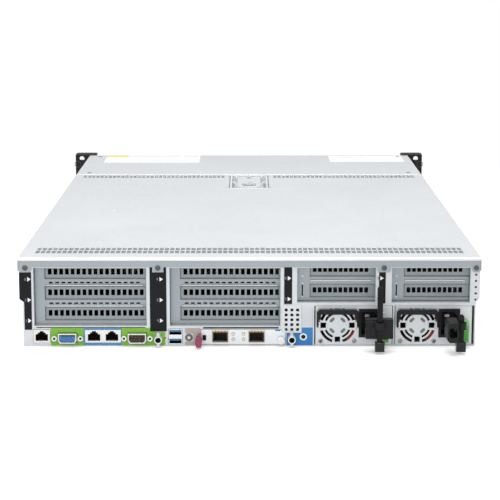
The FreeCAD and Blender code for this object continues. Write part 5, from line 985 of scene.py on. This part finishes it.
class DressModule(ServerStep):
    """Details of the network module"""

    bl_idname = "server.dress_module"
    bl_label = "Dress the network module"

    def build(self, stuff, sizes):
        module = span("ocp_module")
        rims, frames, collars, lamps = shapes(4)
        for name in MODULE_CAGES:
            x0, x1, y0, _, z0, z1 = opening(name)
            wide, low, high = x1 - x0 + 2.6, z0 - 1.3, z1 + 1.9
            left, right = middle(x0, x1) - wide / 2, middle(x0, x1) + wide / 2
            for a, b, c, d in ((left, x0 - 0.25, low, high), (x1 + 0.25, right, low, high),
                               (x0 - 0.25, x1 + 0.25, low, z0 - 0.2),
                               (x0 - 0.25, x1 + 0.25, z1 + 0.2, high)):
                frames.box(a, b, y0 + 0.15, y0 + 0.6, c, d)
            for i in range(5):
                u = left + wide * (i + 0.2) / 5
                rims.box(u, u + wide * 0.6 / 5, y0 - 0.2, y0 + 0.4, high - 1.0, high - 0.1)
        frames.piece("cage_frames", stuff["cage_rim"], "network_module", bevel=0)
        rims.piece("cage_fingers", stuff["gold"], "network_module", bevel=0)
        a, b = (opening(name) for name in MODULE_CAGES)
        gap = middle(a[1], b[0])
        for x in (gap - 4.9, gap + 4.9):
            for z in (6.7, 12.0):
                lamps.lathe([(1.2, 0), (1.2, -0.35), (0.8, -0.55)], "Y", (x, REAR, z), 20)
                collars.ring((x, z), 1.25, 1.75, REAR - 0.3, REAR, 28)
        lamps.piece("module_lamps", stuff["light_pipe"], "network_module", bevel=0)
        collars.piece("module_lamp_collars", stuff["button_grey"], "network_module", bevel=0.05)
        screw = span("ocp_thumbscrew")
        x, z = middle(*screw[:2]), middle(*screw[4:])
        radius = (screw[1] - screw[0]) / 2
        head = Shape()
        knurl = [(x + (radius - (0.0 if i % 2 else 0.28)) * math.cos(math.pi * i / 24),
                  z + (radius - (0.0 if i % 2 else 0.28)) * math.sin(math.pi * i / 24))
                 for i in range(48)]
        head.prism(knurl, "Y", screw[2] + 0.9, screw[2] + 4.2)
        head.lathe([(radius - 0.5, 4.2), (radius - 0.5, 4.7), (1.5, 4.7),
                    (1.5, screw[3] - screw[2])], "Y",
                   (x, screw[2], z), 32)
        cross_head(head, (x, screw[2] + 0.95, z), radius - 0.45, 0.95, arm=0.42, depth=0.8)
        made = head.piece("thumbscrew_head", stuff["white"], "module_thumbscrew", bevel=0.08)
        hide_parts("ocp_thumbscrew")
        tab = Shape()
        tab.box(module[1] - 10.0, module[1] - 4.8, REAR - 0.5, REAR, module[5] - 1.4,
                module[5] - 0.2)
        tab.piece("module_blue_key", stuff["power_blue"], "network_module", bevel=0.15)
        grip = span("ocp_pull_tab")
        ribs = Shape()
        for i in range(4):
            y = grip[2] + 1.4 + 1.5 * i
            ribs.box(middle(*grip[:2]) - 1.2, middle(*grip[:2]) + 1.5, y, y + 0.6,
                     grip[5] - 1.6, grip[5] - 0.9)
        ribs.piece("pull_tab_ribs", stuff["maroon"], "network_module", bevel=0.1)
        chips = Shape()
        for x, y, w, h in ((-20, -285, 22, 22), (2, -300, 9, 7), (10, -278, 8, 8),
                           (-34, -300, 7, 6)):
            chips.box(x - w / 2, x + w / 2, y - h / 2, y + h / 2, 3.6, 5.2)
        chips.piece("module_chips", stuff["chip"], "network_module", bevel=0.2)


def curved_rotor(shape, centre, radius, hub, y0, y1, blades, pitch=38.0, thick=0.9):
    """A moulded fan wheel: rounded hub and swept blades."""
    x, _, z = centre
    shape.lathe([(hub * 0.8, y0), (hub, y0 + (y1 - y0) * 0.1), (hub, y1)], "Y", (x, 0, z), 40)
    steps = 7
    for n in range(blades):
        base = 2 * math.pi * n / blades
        rows = []
        for i in range(steps + 1):
            share = i / steps
            r = hub * 0.96 + (radius - hub * 0.96) * share
            reach = math.radians(pitch) * (1.0 - 0.25 * share)
            lead = base + math.radians(16) * share * share
            rows.append([(r, lead - reach / 2, y0 + (y1 - y0) * 0.12),
                         (r, lead, middle(y0, y1) - 0.6),
                         (r, lead + reach / 2, y1 - (y1 - y0) * 0.1)])
        sheets = []
        for offset in (0.0, thick):
            sheets.append([[shape.mesh.verts.new((x + r * math.cos(t), along + offset,
                                                  z + r * math.sin(t))) for r, t, along in row]
                           for row in rows])
        front, back = sheets
        for i in range(steps):
            for j in range(2):
                shape.mesh.faces.new((front[i][j], front[i + 1][j], front[i + 1][j + 1],
                                      front[i][j + 1]))
                shape.mesh.faces.new((back[i][j + 1], back[i + 1][j + 1], back[i + 1][j],
                                      back[i][j]))
        rim = ([(i, 0) for i in range(steps + 1)] + [(steps, 1)] + [(i, 2) for i in range(steps, -1,
                                                                                          -1)]
               + [(0, 1)])
        for (i, j), (k, m) in zip(rim, rim[1:] + rim[:1]):
            shape.mesh.faces.new((front[i][j], back[i][j], back[k][m], front[k][m]))


class FitFans(ServerStep):
    """Swept fan wheels in the supplies and in the fan row"""

    bl_idname = "server.fit_fans"
    bl_label = "Fit the fans"

    def build(self, stuff, sizes):
        for i in range(1, 5):
            box = span(f"fan_rotor_{i}")
            x, y, z = pivot(f"system_fan_{i}_turn")
            wheel = Shape()
            curved_rotor(wheel, (x, y, z), 34.9, 19.0, box[2], box[3], 7, 46.0, 1.2)
            made = wheel.piece(f"fan_wheel_{i}", stuff["rotor"], f"system_fan_{i}", bevel=0.25)
            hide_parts(f"fan_rotor_{i}")
            label = Shape()
            label.lathe([(13.5, -0.1), (13.5, 0.0)], "Y", (x, box[2], z), 36)
            label.piece(f"fan_hub_label_{i}", stuff["pale_film"], f"system_fan_{i}", bevel=0)
        for n in (1, 2):
            box = span(f"psu_{n}_fan")
            x, y, z = pivot(f"supply_{n}_fan_turn")
            wheel = Shape()
            curved_rotor(wheel, (x, y, z), 16.6, 8.4, box[2], box[3], 7, 44.0, 0.7)
            made = wheel.piece(f"supply_{n}_fan_wheel", stuff["rotor"], f"supply_{n}_fan",
                               bevel=0.15)
            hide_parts(f"psu_{n}_fan")


class DressSupplies(ServerStep):
    """Screws, terminals, grips and wires of the two power supplies"""

    bl_idname = "server.dress_supplies"
    bl_label = "Dress the power supplies"

    def build(self, stuff, sizes):
        for n in (1, 2):
            body = f"supply_{n}"
            x, _, z = pivot(f"supply_{n}_fan_turn")
            screws, washers = shapes(2)
            for side in (-1, 1):
                cross_head(screws, (x + side * 16.2, REAR, z - 15.6), 2.3, 0.9, arm=0.55)
                washers.ring((x + side * 16.2, z - 15.6), 2.4, 3.0, REAR - 0.25, REAR, 28)
            screws.piece(f"supply_{n}_screws", stuff["steel_screw"], body, bevel=0)
            washers.piece(f"supply_{n}_washers", stuff["white"], body, bevel=0.05)
            lugs = Shape()
            for side in (-1, 1):
                a, b = sorted((x + side * 17.0, x + side * 18.3))
                lugs.prism([(REAR, z - 2.4), (REAR - 0.9, z - 1.8), (REAR - 1.2, z + 4.6),
                            (REAR, z + 5.6)],
                           "X", a - side * 0.6 if side > 0 else a, b if side > 0 else b + 0.6)
            lugs.piece(f"supply_{n}_lugs", stuff["nickel"], body, bevel=0.15)
            hub = Shape()
            hub.lathe([(10.9, 0), (10.9, -0.18)], "Y", (x, REAR, z), 48)
            hub.piece(f"supply_{n}_guard_plate", stuff["guard"], body, bevel=0.08)
            ovals = Shape()
            for turn in (45, 135, 225, 315):
                t = math.radians(turn)
                u, v = math.cos(t), math.sin(t)
                px, pz = -v, u
                ring = []
                for a, b in ((-2.9, 0.0), (-2.5, 1.0), (-1.6, 1.4), (1.6, 1.4), (2.5, 1.0),
                             (2.9, 0.0),
                             (2.5, -1.0), (1.6, -1.4), (-1.6, -1.4), (-2.5, -1.0)):
                    ring.append((x + u * (7.4 + b) + px * a, z + v * (7.4 + b) + pz * a))
                ovals.prism(ring, "Y", REAR - 0.24, REAR - 0.1)
            ovals.piece(f"supply_{n}_guard_slots", stuff["oval"], body, bevel=0)
            blades = Shape()
            inlet = span(f"psu_{n}_inlet")
            cx, cz = middle(*inlet[:2]), middle(*inlet[4:])
            for u, v in ((-2.0, -7), (2.0, 0), (-2.0, 7)):
                blades.box(cx + u - 2.1, cx + u + 2.1, inlet[2] + 2.6, inlet[2] + 12, cz + v - 1.1,
                           cz + v + 1.1)
            blades.piece(f"supply_{n}_blades", stuff["nickel"], body, bevel=0.2)
            grip = span(f"psu_{n}_latch")
            ribs = Shape()
            for i in range(5):
                v = grip[4] + 3.2 + 2.4 * i
                ribs.box(grip[0] + 1.0, grip[1] - 0.8, grip[2], grip[2] + 0.9, v, v + 0.9)
            ribs.piece(f"supply_{n}_latch_ribs", stuff["latch"], f"supply_{n}_latch", bevel=0.15)
            case = span(f"psu_{n}_case")
            run = bpy.data.curves.new(f"supply_{n}_wire", "CURVE")
            run.dimensions = "3D"
            run.bevel_depth = 0.7 * MM
            run.bevel_resolution = 3
            for points in (
                    ((9, 1.8, -14.2), (13, 2.0, -10.6), (15.5, 1.8, -6.5)),
                    ((10.4, 1.9, -14.6), (14.2, 2.1, -11.2), (16.6, 1.9, -7.0))):
                spline = run.splines.new("BEZIER")
                spline.bezier_points.add(len(points) - 1)
                for point, (u, v, w) in zip(spline.bezier_points, points):
                    point.co = ((x + u) * MM, (REAR + v) * MM, (z + w) * MM)
                    point.handle_left_type = point.handle_right_type = "AUTO"
            holder = bpy.data.objects.new(f"supply_{n}_wires", run)
            bpy.context.scene.collection.objects.link(holder)
            run.materials.append(stuff["red_wire"])
            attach(holder, body)
            label = Shape()
            label.box(case[0] + 14, case[1] - 20, REAR + 60, REAR + 130, z + 18.9, z + 19.0)
            label.piece(f"supply_{n}_blank_label", stuff["paper"], body, bevel=0)
            lamp = Shape()
            lamp.lathe([(0.9, 0), (0.9, -0.35), (0.5, -0.5)], "Y", (x + 44.5, REAR, z + 12.5), 16)
            lamp.piece(f"supply_{n}_lamp", stuff["light_pipe"], body, bevel=0)
            sleeve = span(f"psu_{n}_clamp")
            ribs = Shape()
            if n == 1:
                ribs.box(sleeve[0] + 6, sleeve[0] + 7.4, sleeve[2], sleeve[2] + 0.5, sleeve[4] + 5,
                         sleeve[5] - 6)
                ribs.box(sleeve[0] + 1, sleeve[0] + 9, sleeve[2] + 0.2, sleeve[2] + 1.2,
                         sleeve[5] - 1.2, sleeve[5] - 0.2)
            else:
                ribs.box(sleeve[0], sleeve[0] + 0.6, sleeve[2] + 8, sleeve[2] + 9.4, sleeve[4] + 5,
                         sleeve[5] - 6)
            ribs.piece(f"supply_{n}_clamp_rib", stuff["black"], f"supply_{n}_clamp", bevel=0.1)


class DressCovers(ServerStep):
    """Vent bars, tray rim, latch grip and blank stickers of the covers"""

    bl_idname = "server.dress_covers"
    bl_label = "Dress the covers"

    def build(self, stuff, sizes):
        cover = span("top_cover")
        half = sizes.vent_bar / MM / 2
        rear_mid = cover[2] + 1.4 + 23.0 + 14.5
        bars = Shape()
        bars.box(-209, 209, rear_mid - half, rear_mid + half, TOP - 0.9, TOP - 0.01)
        front_mid = cover[3] - 9.0 - 9.0
        for a, b in ((-209.5, -30), (30, 209.5)):
            bars.box(a, b, front_mid - half * 0.8, front_mid + half * 0.8, TOP - 0.9, TOP - 0.01)
        bars.piece("vent_bars", stuff["cover"], "cover", bevel=0)
        mesh = Shape()
        mesh.box(-212, 212, rear_mid - 16.5, rear_mid + 16.5, TOP - 1.5, TOP - 1.05)
        mesh.piece("vent_mesh", stuff["vent_mesh"], "cover", bevel=0)
        # Raised hem along the top cover's front edge, white as a painted highlight line.
        hem = Shape()
        hem.prism([(cover[3] - 2.2, TOP - 0.02), (cover[3] - 1.6, TOP + 0.35),
                   (cover[3] - 0.2, TOP + 0.35),
                   (cover[3], TOP - 0.02)], "X", cover[0] + 3, cover[1] - 3)
        hem.piece("cover_hem_highlight", stuff["white"], "cover", bevel=0)
        tray = opening("latch_tray_gap")
        hinge = pivot("cover_latch_hinge")
        x1, y0, y1 = tray[1] + 0.7, tray[2] - 0.6, hinge[1] + 6.0
        rim = Shape()
        high = TOP + 0.35
        edge = 1.6
        for a, b, c, d in ((-x1 - edge, -x1, y0 - edge, y1 + edge),
                           (x1, x1 + edge, y0 - edge, y1 + edge),
                           (-x1, x1, y0 - edge, y0), (-x1, x1, y1, y1 + edge)):
            rim.box(a, b, c, d, TOP - 0.3, high)
        rim.piece("tray_rim", stuff["white"], "cover", bevel=0.15)
        clips = Shape()
        for side in (-1, 1):
            for y in (y0 + 4, y1 - 6):
                clips.box(side * (x1 + 1.6), side * (x1 + 5.6), y, y + 1.6, TOP - 0.1, TOP + 0.4)
            clips.box(side * (x1 + 2.4), side * (x1 + 3.4), y0 + 4, y1 - 4.4, TOP - 0.1, TOP + 0.4)
        clips.piece("tray_clips", stuff["steel_screw"], "cover", bevel=0.1)
        latch = span("latch_handle")
        grip = Shape()
        for i in range(6):
            y = latch[2] + 2.2 + 1.3 * i
            grip.box(-8.5, 8.5, y, y + 0.6, latch[5] - 0.1, latch[5] + 0.25)
        grip.piece("latch_grip_ribs", stuff["cover"], "cover_latch", bevel=0.1)
        arrow = Shape()
        y = middle(latch[2], latch[3])
        arrow.prism([(-4, y - 3), (4, y - 3), (0, y + 4)], "Z", latch[5] - 0.05, latch[5] + 0.05)
        arrow.box(-1.2, 1.2, y - 10, y - 3, latch[5] - 0.05, latch[5] + 0.05)
        arrow.piece("latch_arrow", stuff["paper_print"], "cover_latch", bevel=0)
        lock = Shape()
        lock.lathe([(3.4, 0), (3.4, 0.35), (3.0, 0.5)], "Z", (0, latch[3] - 12, latch[5] - 0.05),
                   32)
        lock.piece("latch_lock", stuff["nickel"], "cover_latch", bevel=0)
        # Black strip in the latch lock: painted shade of the key slot.
        slot = Shape()
        slot.box(-2.4, 2.4, latch[3] - 12.4, latch[3] - 11.6, latch[5] + 0.42, latch[5] + 0.5)
        slot.piece("latch_lock_slot", stuff["hole"], "cover_latch", bevel=0)
        hooks = Shape()
        for side in (-1, 1):
            hooks.box(side * (x1 - 0.2), side * (x1 - 3.6), y0 + 6, y0 + 44, TOP - 3.0, TOP - 0.6)
        hooks.piece("tray_side_bars", stuff["nickel"], "cover", bevel=0.3)
        front = span("front_cover")
        paper, print_bars, yellow = shapes(3)
        for a, b, c, d in ((-196, -67, FRONT - 73, FRONT - 2), (110, 211, FRONT - 65, FRONT - 6)):
            paper.box(a, b, c, d, TOP - 0.02, TOP + 0.06)
        for a, b, c in ((-168, -95, FRONT - 16), (-90, -70, FRONT - 16), (-170, -155, FRONT - 51),
                        (-150, -118, FRONT - 51), (-112, -86, FRONT - 51), (122, 140, FRONT - 21)):
            print_bars.box(a, b, c, c + 5, TOP + 0.05, TOP + 0.09)
        yellow.box(-196, -167.5, FRONT - 18, FRONT - 2, TOP + 0.04, TOP + 0.1)
        paper.piece("cover_stickers", stuff["paper"], bevel=0)
        print_bars.piece("cover_sticker_bars", stuff["paper_print"], bevel=0)
        yellow.piece("cover_sticker_stripe", stuff["yellow"], bevel=0)
        mark = Shape()
        y = front[2] + 30
        mark.prism([(-4.3, y), (-4.3, y + 5), (-0.6, y + 2.5)], "Z", TOP, TOP + 0.06)
        mark.box(0.8, 4.2, y + 1, y + 4, TOP, TOP + 0.06)
        mark.piece("cover_mark", stuff["paper_print"], bevel=0)
        dimples = Shape()
        for x in (-150, 150):
            for y in (cover[2] + 90, middle(cover[2], cover[3]), cover[3] - 60):
                dimples.lathe([(3.2, 0), (3.0, 0.12), (2.2, 0.2)], "Z", (x, y, TOP - 0.02), 28)
        dimples.piece("cover_pips", stuff["cover"], "cover", bevel=0)


class PopulateBoard(ServerStep):
    """Chips, coils, capacitors and sockets on the boards inside"""

    bl_idname = "server.populate_board"
    bl_label = "Populate the boards"

    def build(self, stuff, sizes):
        pick = random.Random(4)
        board = span("motherboard")
        top = board[5]
        low, high = opening("board_space")[2:4]
        chips, cans, caps, coils = shapes(4)
        for i in range(sizes.board_chips):
            x, y = pick.uniform(-200, 200), pick.uniform(low + 3, high - 3)
            w, h = pick.uniform(1.5, 6), pick.uniform(1.5, 6)
            chips.box(x - w / 2, x + w / 2, y - h / 2, y + h / 2, top, top + pick.uniform(0.5, 1.4))
        for x, y, w in ((-60, -150, 26), (20, -146, 18), (120, -146, 14), (-150, -148, 16)):
            chips.box(x - w / 2, x + w / 2, y - w / 2, y + w / 2, top, top + 2.2)
        for side in (-1, 1):
            for i in range(12):
                x = side * HEATSINK_X + 6.2 * (i - 5.5)
                coils.box(x - 2.5, x + 2.5, -116, -108, top, top + 5.0)
                cans.lathe([(2.0, 0), (2.0, 6.6), (1.7, 7.0)], "Z", (x, -120.5, top), 16)
                caps.lathe([(1.5, 7.0), (1.5, 7.08)], "Z", (x, -120.5, top), 12)
        chips.piece("board_chips", stuff["chip"], bevel=0)
        coils.piece("board_coils", stuff["satin_black"], bevel=0.3)
        cans.piece("board_capacitors", stuff["nickel"], bevel=0)
        caps.piece("board_capacitor_tops", stuff["chip"], bevel=0)
        memory = span("memory_modules")
        card_chips, clips = shapes(2)
        y0, y1 = memory[2] + 4, memory[3] - 4
        step = 8.2
        starts = (memory[0] + 2.6, -HEATSINK_X + 46, HEATSINK_X - 46 - 5 * step,
                  memory[1] - 2.6 - 5 * step)
        for start in starts:
            for i in range(6):
                x = start + step * i
                for k in range(9):
                    y = y0 + 8 + (y1 - y0 - 16) * k / 8
                    card_chips.box(x - 1.5, x + 1.5, y - 4.2, y + 4.2, memory[5] - 22,
                                   memory[5] - 9)
                for y in (y0 - 2.6, y1 + 2.6):
                    clips.box(x - 2.2, x + 2.2, y - 1.4, y + 1.4, memory[4] + 5.8, memory[4] + 18)
        card_chips.piece("memory_chips", stuff["chip"], bevel=0)
        clips.piece("memory_clips", stuff["pale_plastic"], bevel=0.2)
        sinks = span("cpu_heatsinks")
        springs, plates = shapes(2)
        for side in (-1, 1):
            x = side * HEATSINK_X
            plates.box(x - 30, x + 30, sinks[2] + 34, sinks[3] - 34, sinks[5], sinks[5] + 0.25)
            for u in (-34, 34):
                for y in (sinks[2] + 3, sinks[3] - 3):
                    springs.lathe([(2.6, 0), (2.6, 8), (3.4, 8), (3.4, 10.5), (2.0, 11.5)], "Z",
                                  (x + u, y, sinks[4]), 20)
        springs.piece("heatsink_screws", stuff["nickel"], bevel=0)
        plates.piece("heatsink_blank_labels", stuff["pale_film"], bevel=0)
        fans = span("fan_cage")
        plugs = Shape()
        for i in range(1, 5):
            x = pivot(f"system_fan_{i}_turn")[0]
            plugs.box(x + 26, x + 37, fans[2] - 6, fans[2] - 0.2, fans[5] - 9, fans[5] - 1)
        plugs.piece("fan_plugs", stuff["maroon"], bevel=0.3)
        plane = span("drive_backplane")
        sockets = Shape()
        for i in range(4):
            x = DRIVE_PITCH * (i - 1.5)
            sockets.box(x - 22, x + 6, plane[2] - 7, plane[2], 62, 69)
        sockets.piece("backplane_sockets", stuff["connector"], bevel=0.2)


class DressFront(ServerStep):
    """Drive bezels, blanks and rack ears of the front"""

    bl_idname = "server.dress_front"
    bl_label = "Dress the front"

    def build(self, stuff, sizes):
        for i in range(1, 5):
            box = span(f"drive_{i}")
            x0, x1, z0, z1 = box[0], box[1], box[4], box[5]
            face = box[3]
            lamps = Shape()
            for z in (middle(z0, z1) + 4, middle(z0, z1) - 4):
                lamps.lathe([(1.1, 0), (1.1, 0.3), (0.7, 0.5)], "Y", (x1 - 8.0, face, z), 16)
            lamps.piece(f"drive_{i}_lamps", stuff["light_pipe"], f"drive_{i}", bevel=0)
            mesh = Shape()
            for k in range(9):
                u = x0 + 4 + 11 * k
                mesh.box(u, u + 8, face, face + 0.25, z0 + 0.8, z0 + 1.4)
                mesh.box(u, u + 8, face, face + 0.25, z1 - 1.4, z1 - 0.8)
            mesh.piece(f"drive_{i}_ribs", stuff["satin_black"], f"drive_{i}", bevel=0)
            lever = span(f"drive_{i}_lever")
            bars = Shape()
            for k in range(4):
                u = lever[0] + 12 + 16 * k
                for v in range(5):
                    bars.box(u + 1.2 + 2.3 * v, u + 2.0 + 2.3 * v, lever[3] - 3.2, lever[3] - 0.6,
                             lever[4] + 4.4, lever[5] - 4.4)
            bars.piece(f"drive_{i}_lever_bars", stuff["satin_black"], f"drive_{i}_lever", bevel=0)
            button = Shape()
            button.box(lever[1] - 4.8, lever[1] - 0.8, lever[3] - 0.2, lever[3] + 0.4,
                       middle(*lever[4:]) - 6.5, middle(*lever[4:]) + 6.5)
            button.piece(f"drive_{i}_button", stuff["maroon"], f"drive_{i}_lever", bevel=0.2)
        blanks = span("drive_blanks")
        slats = Shape()
        for row in range(2):
            for column in range(4):
                x = DRIVE_PITCH * (column - 1.5)
                z = 1.9 + 27.2 * (row + 0.5)
                for k in range(3):
                    a = x - 52 + 8 + 30 * k
                    for v in range(9):
                        slats.box(a + 1.8 + 2.8 * v, a + 2.8 + 2.8 * v, blanks[3] - 4.0,
                                  blanks[3] - 0.6,
                                  z - 7.2, z + 7.2)
        slats.piece("blank_slats", stuff["satin_black"], bevel=0)
        button = span("front_power_button")
        x, z = middle(*button[:2]), middle(*button[4:])
        ring = Shape()
        radius = (button[1] - button[0]) / 2
        ear = span("left_ear")
        ring.ring((x, z), radius + 0.3, radius + 1.2, ear[3] - 0.1, ear[3] + 0.35, 36)
        ring.piece("front_button_ring", stuff["nickel"], bevel=0.1)
        lamps = Shape()
        for k in range(3):
            lamps.lathe([(1.0, 0), (1.0, 0.3), (0.6, 0.5)], "Y", (x, ear[3], z - 12 - 6 * k), 16)
        lamps.piece("ear_lamps", stuff["light_pipe"], bevel=0)
        symbol = Shape()
        face = button[3]
        symbol.ring((x, z), 1.7, 2.2, face - 0.1, face, 28)
        symbol.box(x - 0.25, x + 0.25, face - 0.1, face, z + 0.3, z + 2.6)
        symbol.piece("front_button_symbol", stuff["mark"], "front_power_button", bevel=0)
        right = span("right_ear")
        tongue = Shape()
        tongue.box(right[1] - 15.6, right[1] - 14.4, right[3] - 9, right[3] - 1.2, z - 5.2, z + 5.2)
        tongue.piece("front_usb_tongue", stuff["usb_blue"], bevel=0.1)
        washers = Shape()
        plate_y = right[2] + 3.0
        for side in (-1, 1):
            for level in (-RACK_HOLE_RISE, RACK_HOLE_RISE):
                washers.ring((side * RACK_HOLE_X, RACK_HOLE_MIDDLE + level), 3.5, 4.3, plate_y,
                             plate_y + 0.4, 30)
        washers.piece("rack_hole_rims", stuff["satin_black"], bevel=0)


class BuildStage(ServerStep):
    """Floor, lights, world and camera"""

    bl_idname = "server.build_stage"
    bl_label = "Build the studio"

    def build(self, stuff, sizes):
        scene = bpy.context.scene
        scene.view_settings.view_transform = "Standard"
        floor = bpy.data.meshes.new("studio_floor")
        floor.from_pydata([(-9, -6, 0), (9, -6, 0), (9, 14, 0), (-9, 14, 0)], [], [(0, 1, 2, 3)])
        ground = bpy.data.objects.new("studio_floor", floor)
        scene.collection.objects.link(ground)
        ground.location.z = -0.0002
        cloth = bpy.data.materials.new("Studio floor")
        cloth.use_nodes = True
        tree = cloth.node_tree
        shader = tree.nodes["Principled BSDF"]
        shader.inputs["Base Color"].default_value = (0.80, 0.80, 0.80, 1)
        shader.inputs["Roughness"].default_value = 0.9
        shader.inputs["Specular IOR Level"].default_value = 0.1
        glow = tree.nodes.new("ShaderNodeEmission")
        glow.inputs["Strength"].default_value = 0.32
        ray = tree.nodes.new("ShaderNodeLightPath")
        dark = tree.nodes.new("ShaderNodeEmission")
        dark.inputs["Strength"].default_value = 0.0
        chosen = tree.nodes.new("ShaderNodeMixShader")
        either = math_node(tree, "MAXIMUM", ray.outputs["Is Camera Ray"],
                           ray.outputs["Is Glossy Ray"])
        either = math_node(tree, "MAXIMUM", either, ray.outputs["Is Transmission Ray"])
        tree.links.new(either, chosen.inputs[0])
        tree.links.new(dark.outputs[0], chosen.inputs[1])
        tree.links.new(glow.outputs[0], chosen.inputs[2])
        both = tree.nodes.new("ShaderNodeAddShader")
        tree.links.new(shader.outputs[0], both.inputs[0])
        tree.links.new(chosen.outputs[0], both.inputs[1])
        reach = tree.nodes.new("ShaderNodeVectorMath")
        reach.operation = "LENGTH"
        tree.links.new(own_coordinates(tree), reach.inputs[0])
        far = tree.nodes.new("ShaderNodeMapRange")
        far.interpolation_type = "SMOOTHSTEP"
        far.inputs["From Min"].default_value = 0.5
        far.inputs["From Max"].default_value = 1.1
        tree.links.new(reach.outputs["Value"], far.inputs["Value"])
        backdrop = tree.nodes.new("ShaderNodeEmission")
        backdrop.inputs["Strength"].default_value = 1.0
        edge = tree.nodes.new("ShaderNodeMixShader")
        tree.links.new(math_node(tree, "MULTIPLY", far.outputs[0], either), edge.inputs[0])
        tree.links.new(both.outputs[0], edge.inputs[1])
        tree.links.new(backdrop.outputs[0], edge.inputs[2])
        tree.links.new(edge.outputs[0], tree.nodes["Material Output"].inputs["Surface"])
        floor.materials.append(cloth)

        world = bpy.data.worlds.new("Studio")
        scene.world = world
        world.use_nodes = True
        tree = world.node_tree
        sky = tree.nodes["Background"]
        sky.inputs["Color"].default_value = (0.97, 0.985, 1.0, 1)
        sky.inputs["Strength"].default_value = 0.40
        seen = tree.nodes.new("ShaderNodeBackground")
        seen.inputs["Color"].default_value = (1, 1, 1, 1)
        seen.inputs["Strength"].default_value = 1.0
        ray = tree.nodes.new("ShaderNodeLightPath")
        chosen = tree.nodes.new("ShaderNodeMixShader")
        tree.links.new(ray.outputs["Is Camera Ray"], chosen.inputs[0])
        tree.links.new(sky.outputs[0], chosen.inputs[1])
        tree.links.new(seen.outputs[0], chosen.inputs[2])
        tree.links.new(chosen.outputs[0], tree.nodes["World Output"].inputs["Surface"])

        for name, place, aim, size, power in (
                ("overhead_softbox", (0.0, -0.25, 1.8), (0, -0.15, 0), 1.7, 37.0),
                ("rear_softbox", (-0.4, -2.4, 0.75), (0, -0.3, 0.05), 1.4, 13.0),
                ("left_softbox", (-2.2, -0.9, 1.2), (0, 0, 0.05), 1.3, 9.0),
                ("right_softbox", (2.3, -0.6, 1.1), (0, 0, 0.05), 1.3, 8.0)):
            lamp = bpy.data.lights.new(name, "AREA")
            lamp.shape = "SQUARE"
            lamp.size = size
            lamp.energy = power
            holder = bpy.data.objects.new(name, lamp)
            holder.location = place
            holder.rotation_euler = (Vector(aim) - Vector(place)).to_track_quat("-Z",
                                                                                "Y").to_euler()
            scene.collection.objects.link(holder)

        camera = bpy.data.cameras.new("camera")
        camera.lens = 118.8
        camera.clip_end = 50
        holder = bpy.data.objects.new("camera", camera)
        holder.location = (-0.0018, REAR * MM - 1.543, TOP * MM + 0.303)
        holder.rotation_euler = (math.radians(90 - 10.84), 0, math.radians(-0.086))
        scene.collection.objects.link(holder)
        scene.camera = holder


class SERVER_PT_panel(bpy.types.Panel):
    """Steps and settings of the rack server"""

    bl_label = "Rack server"
    bl_space_type = "VIEW_3D"
    bl_region_type = "UI"
    bl_category = "Rack server"

    def draw(self, context):
        for step in STEPS:
            self.layout.operator(step.bl_idname)
        for settings in (context.scene.server_finishes, context.scene.server_sizes):
            for name in settings.bl_rna.properties.keys():
                if name not in ("rna_type", "name"):
                    self.layout.prop(settings, name)


STEPS = [PaintChassis, PrintSlotMarks, DressBays, StickPortFilms, FitConnectors, FitRearHardware,
         DressModule,
         FitFans, DressSupplies, DressCovers, PopulateBoard, DressFront, BuildStage]
CLASSES = [ServerFinishes, ServerSizes, *STEPS, SERVER_PT_panel]


def register():
    for kind in CLASSES:
        bpy.utils.register_class(kind)
    bpy.types.Scene.server_finishes = PointerProperty(type=ServerFinishes)
    bpy.types.Scene.server_sizes = PointerProperty(type=ServerSizes)


def unregister():
    del bpy.types.Scene.server_sizes
    del bpy.types.Scene.server_finishes
    for kind in reversed(CLASSES):
        bpy.utils.unregister_class(kind)


def main():
    register()
    for step in STEPS:
        group, name = step.bl_idname.split(".")
        getattr(getattr(bpy.ops, group), name)()


if __name__ == "__main__":
    main()
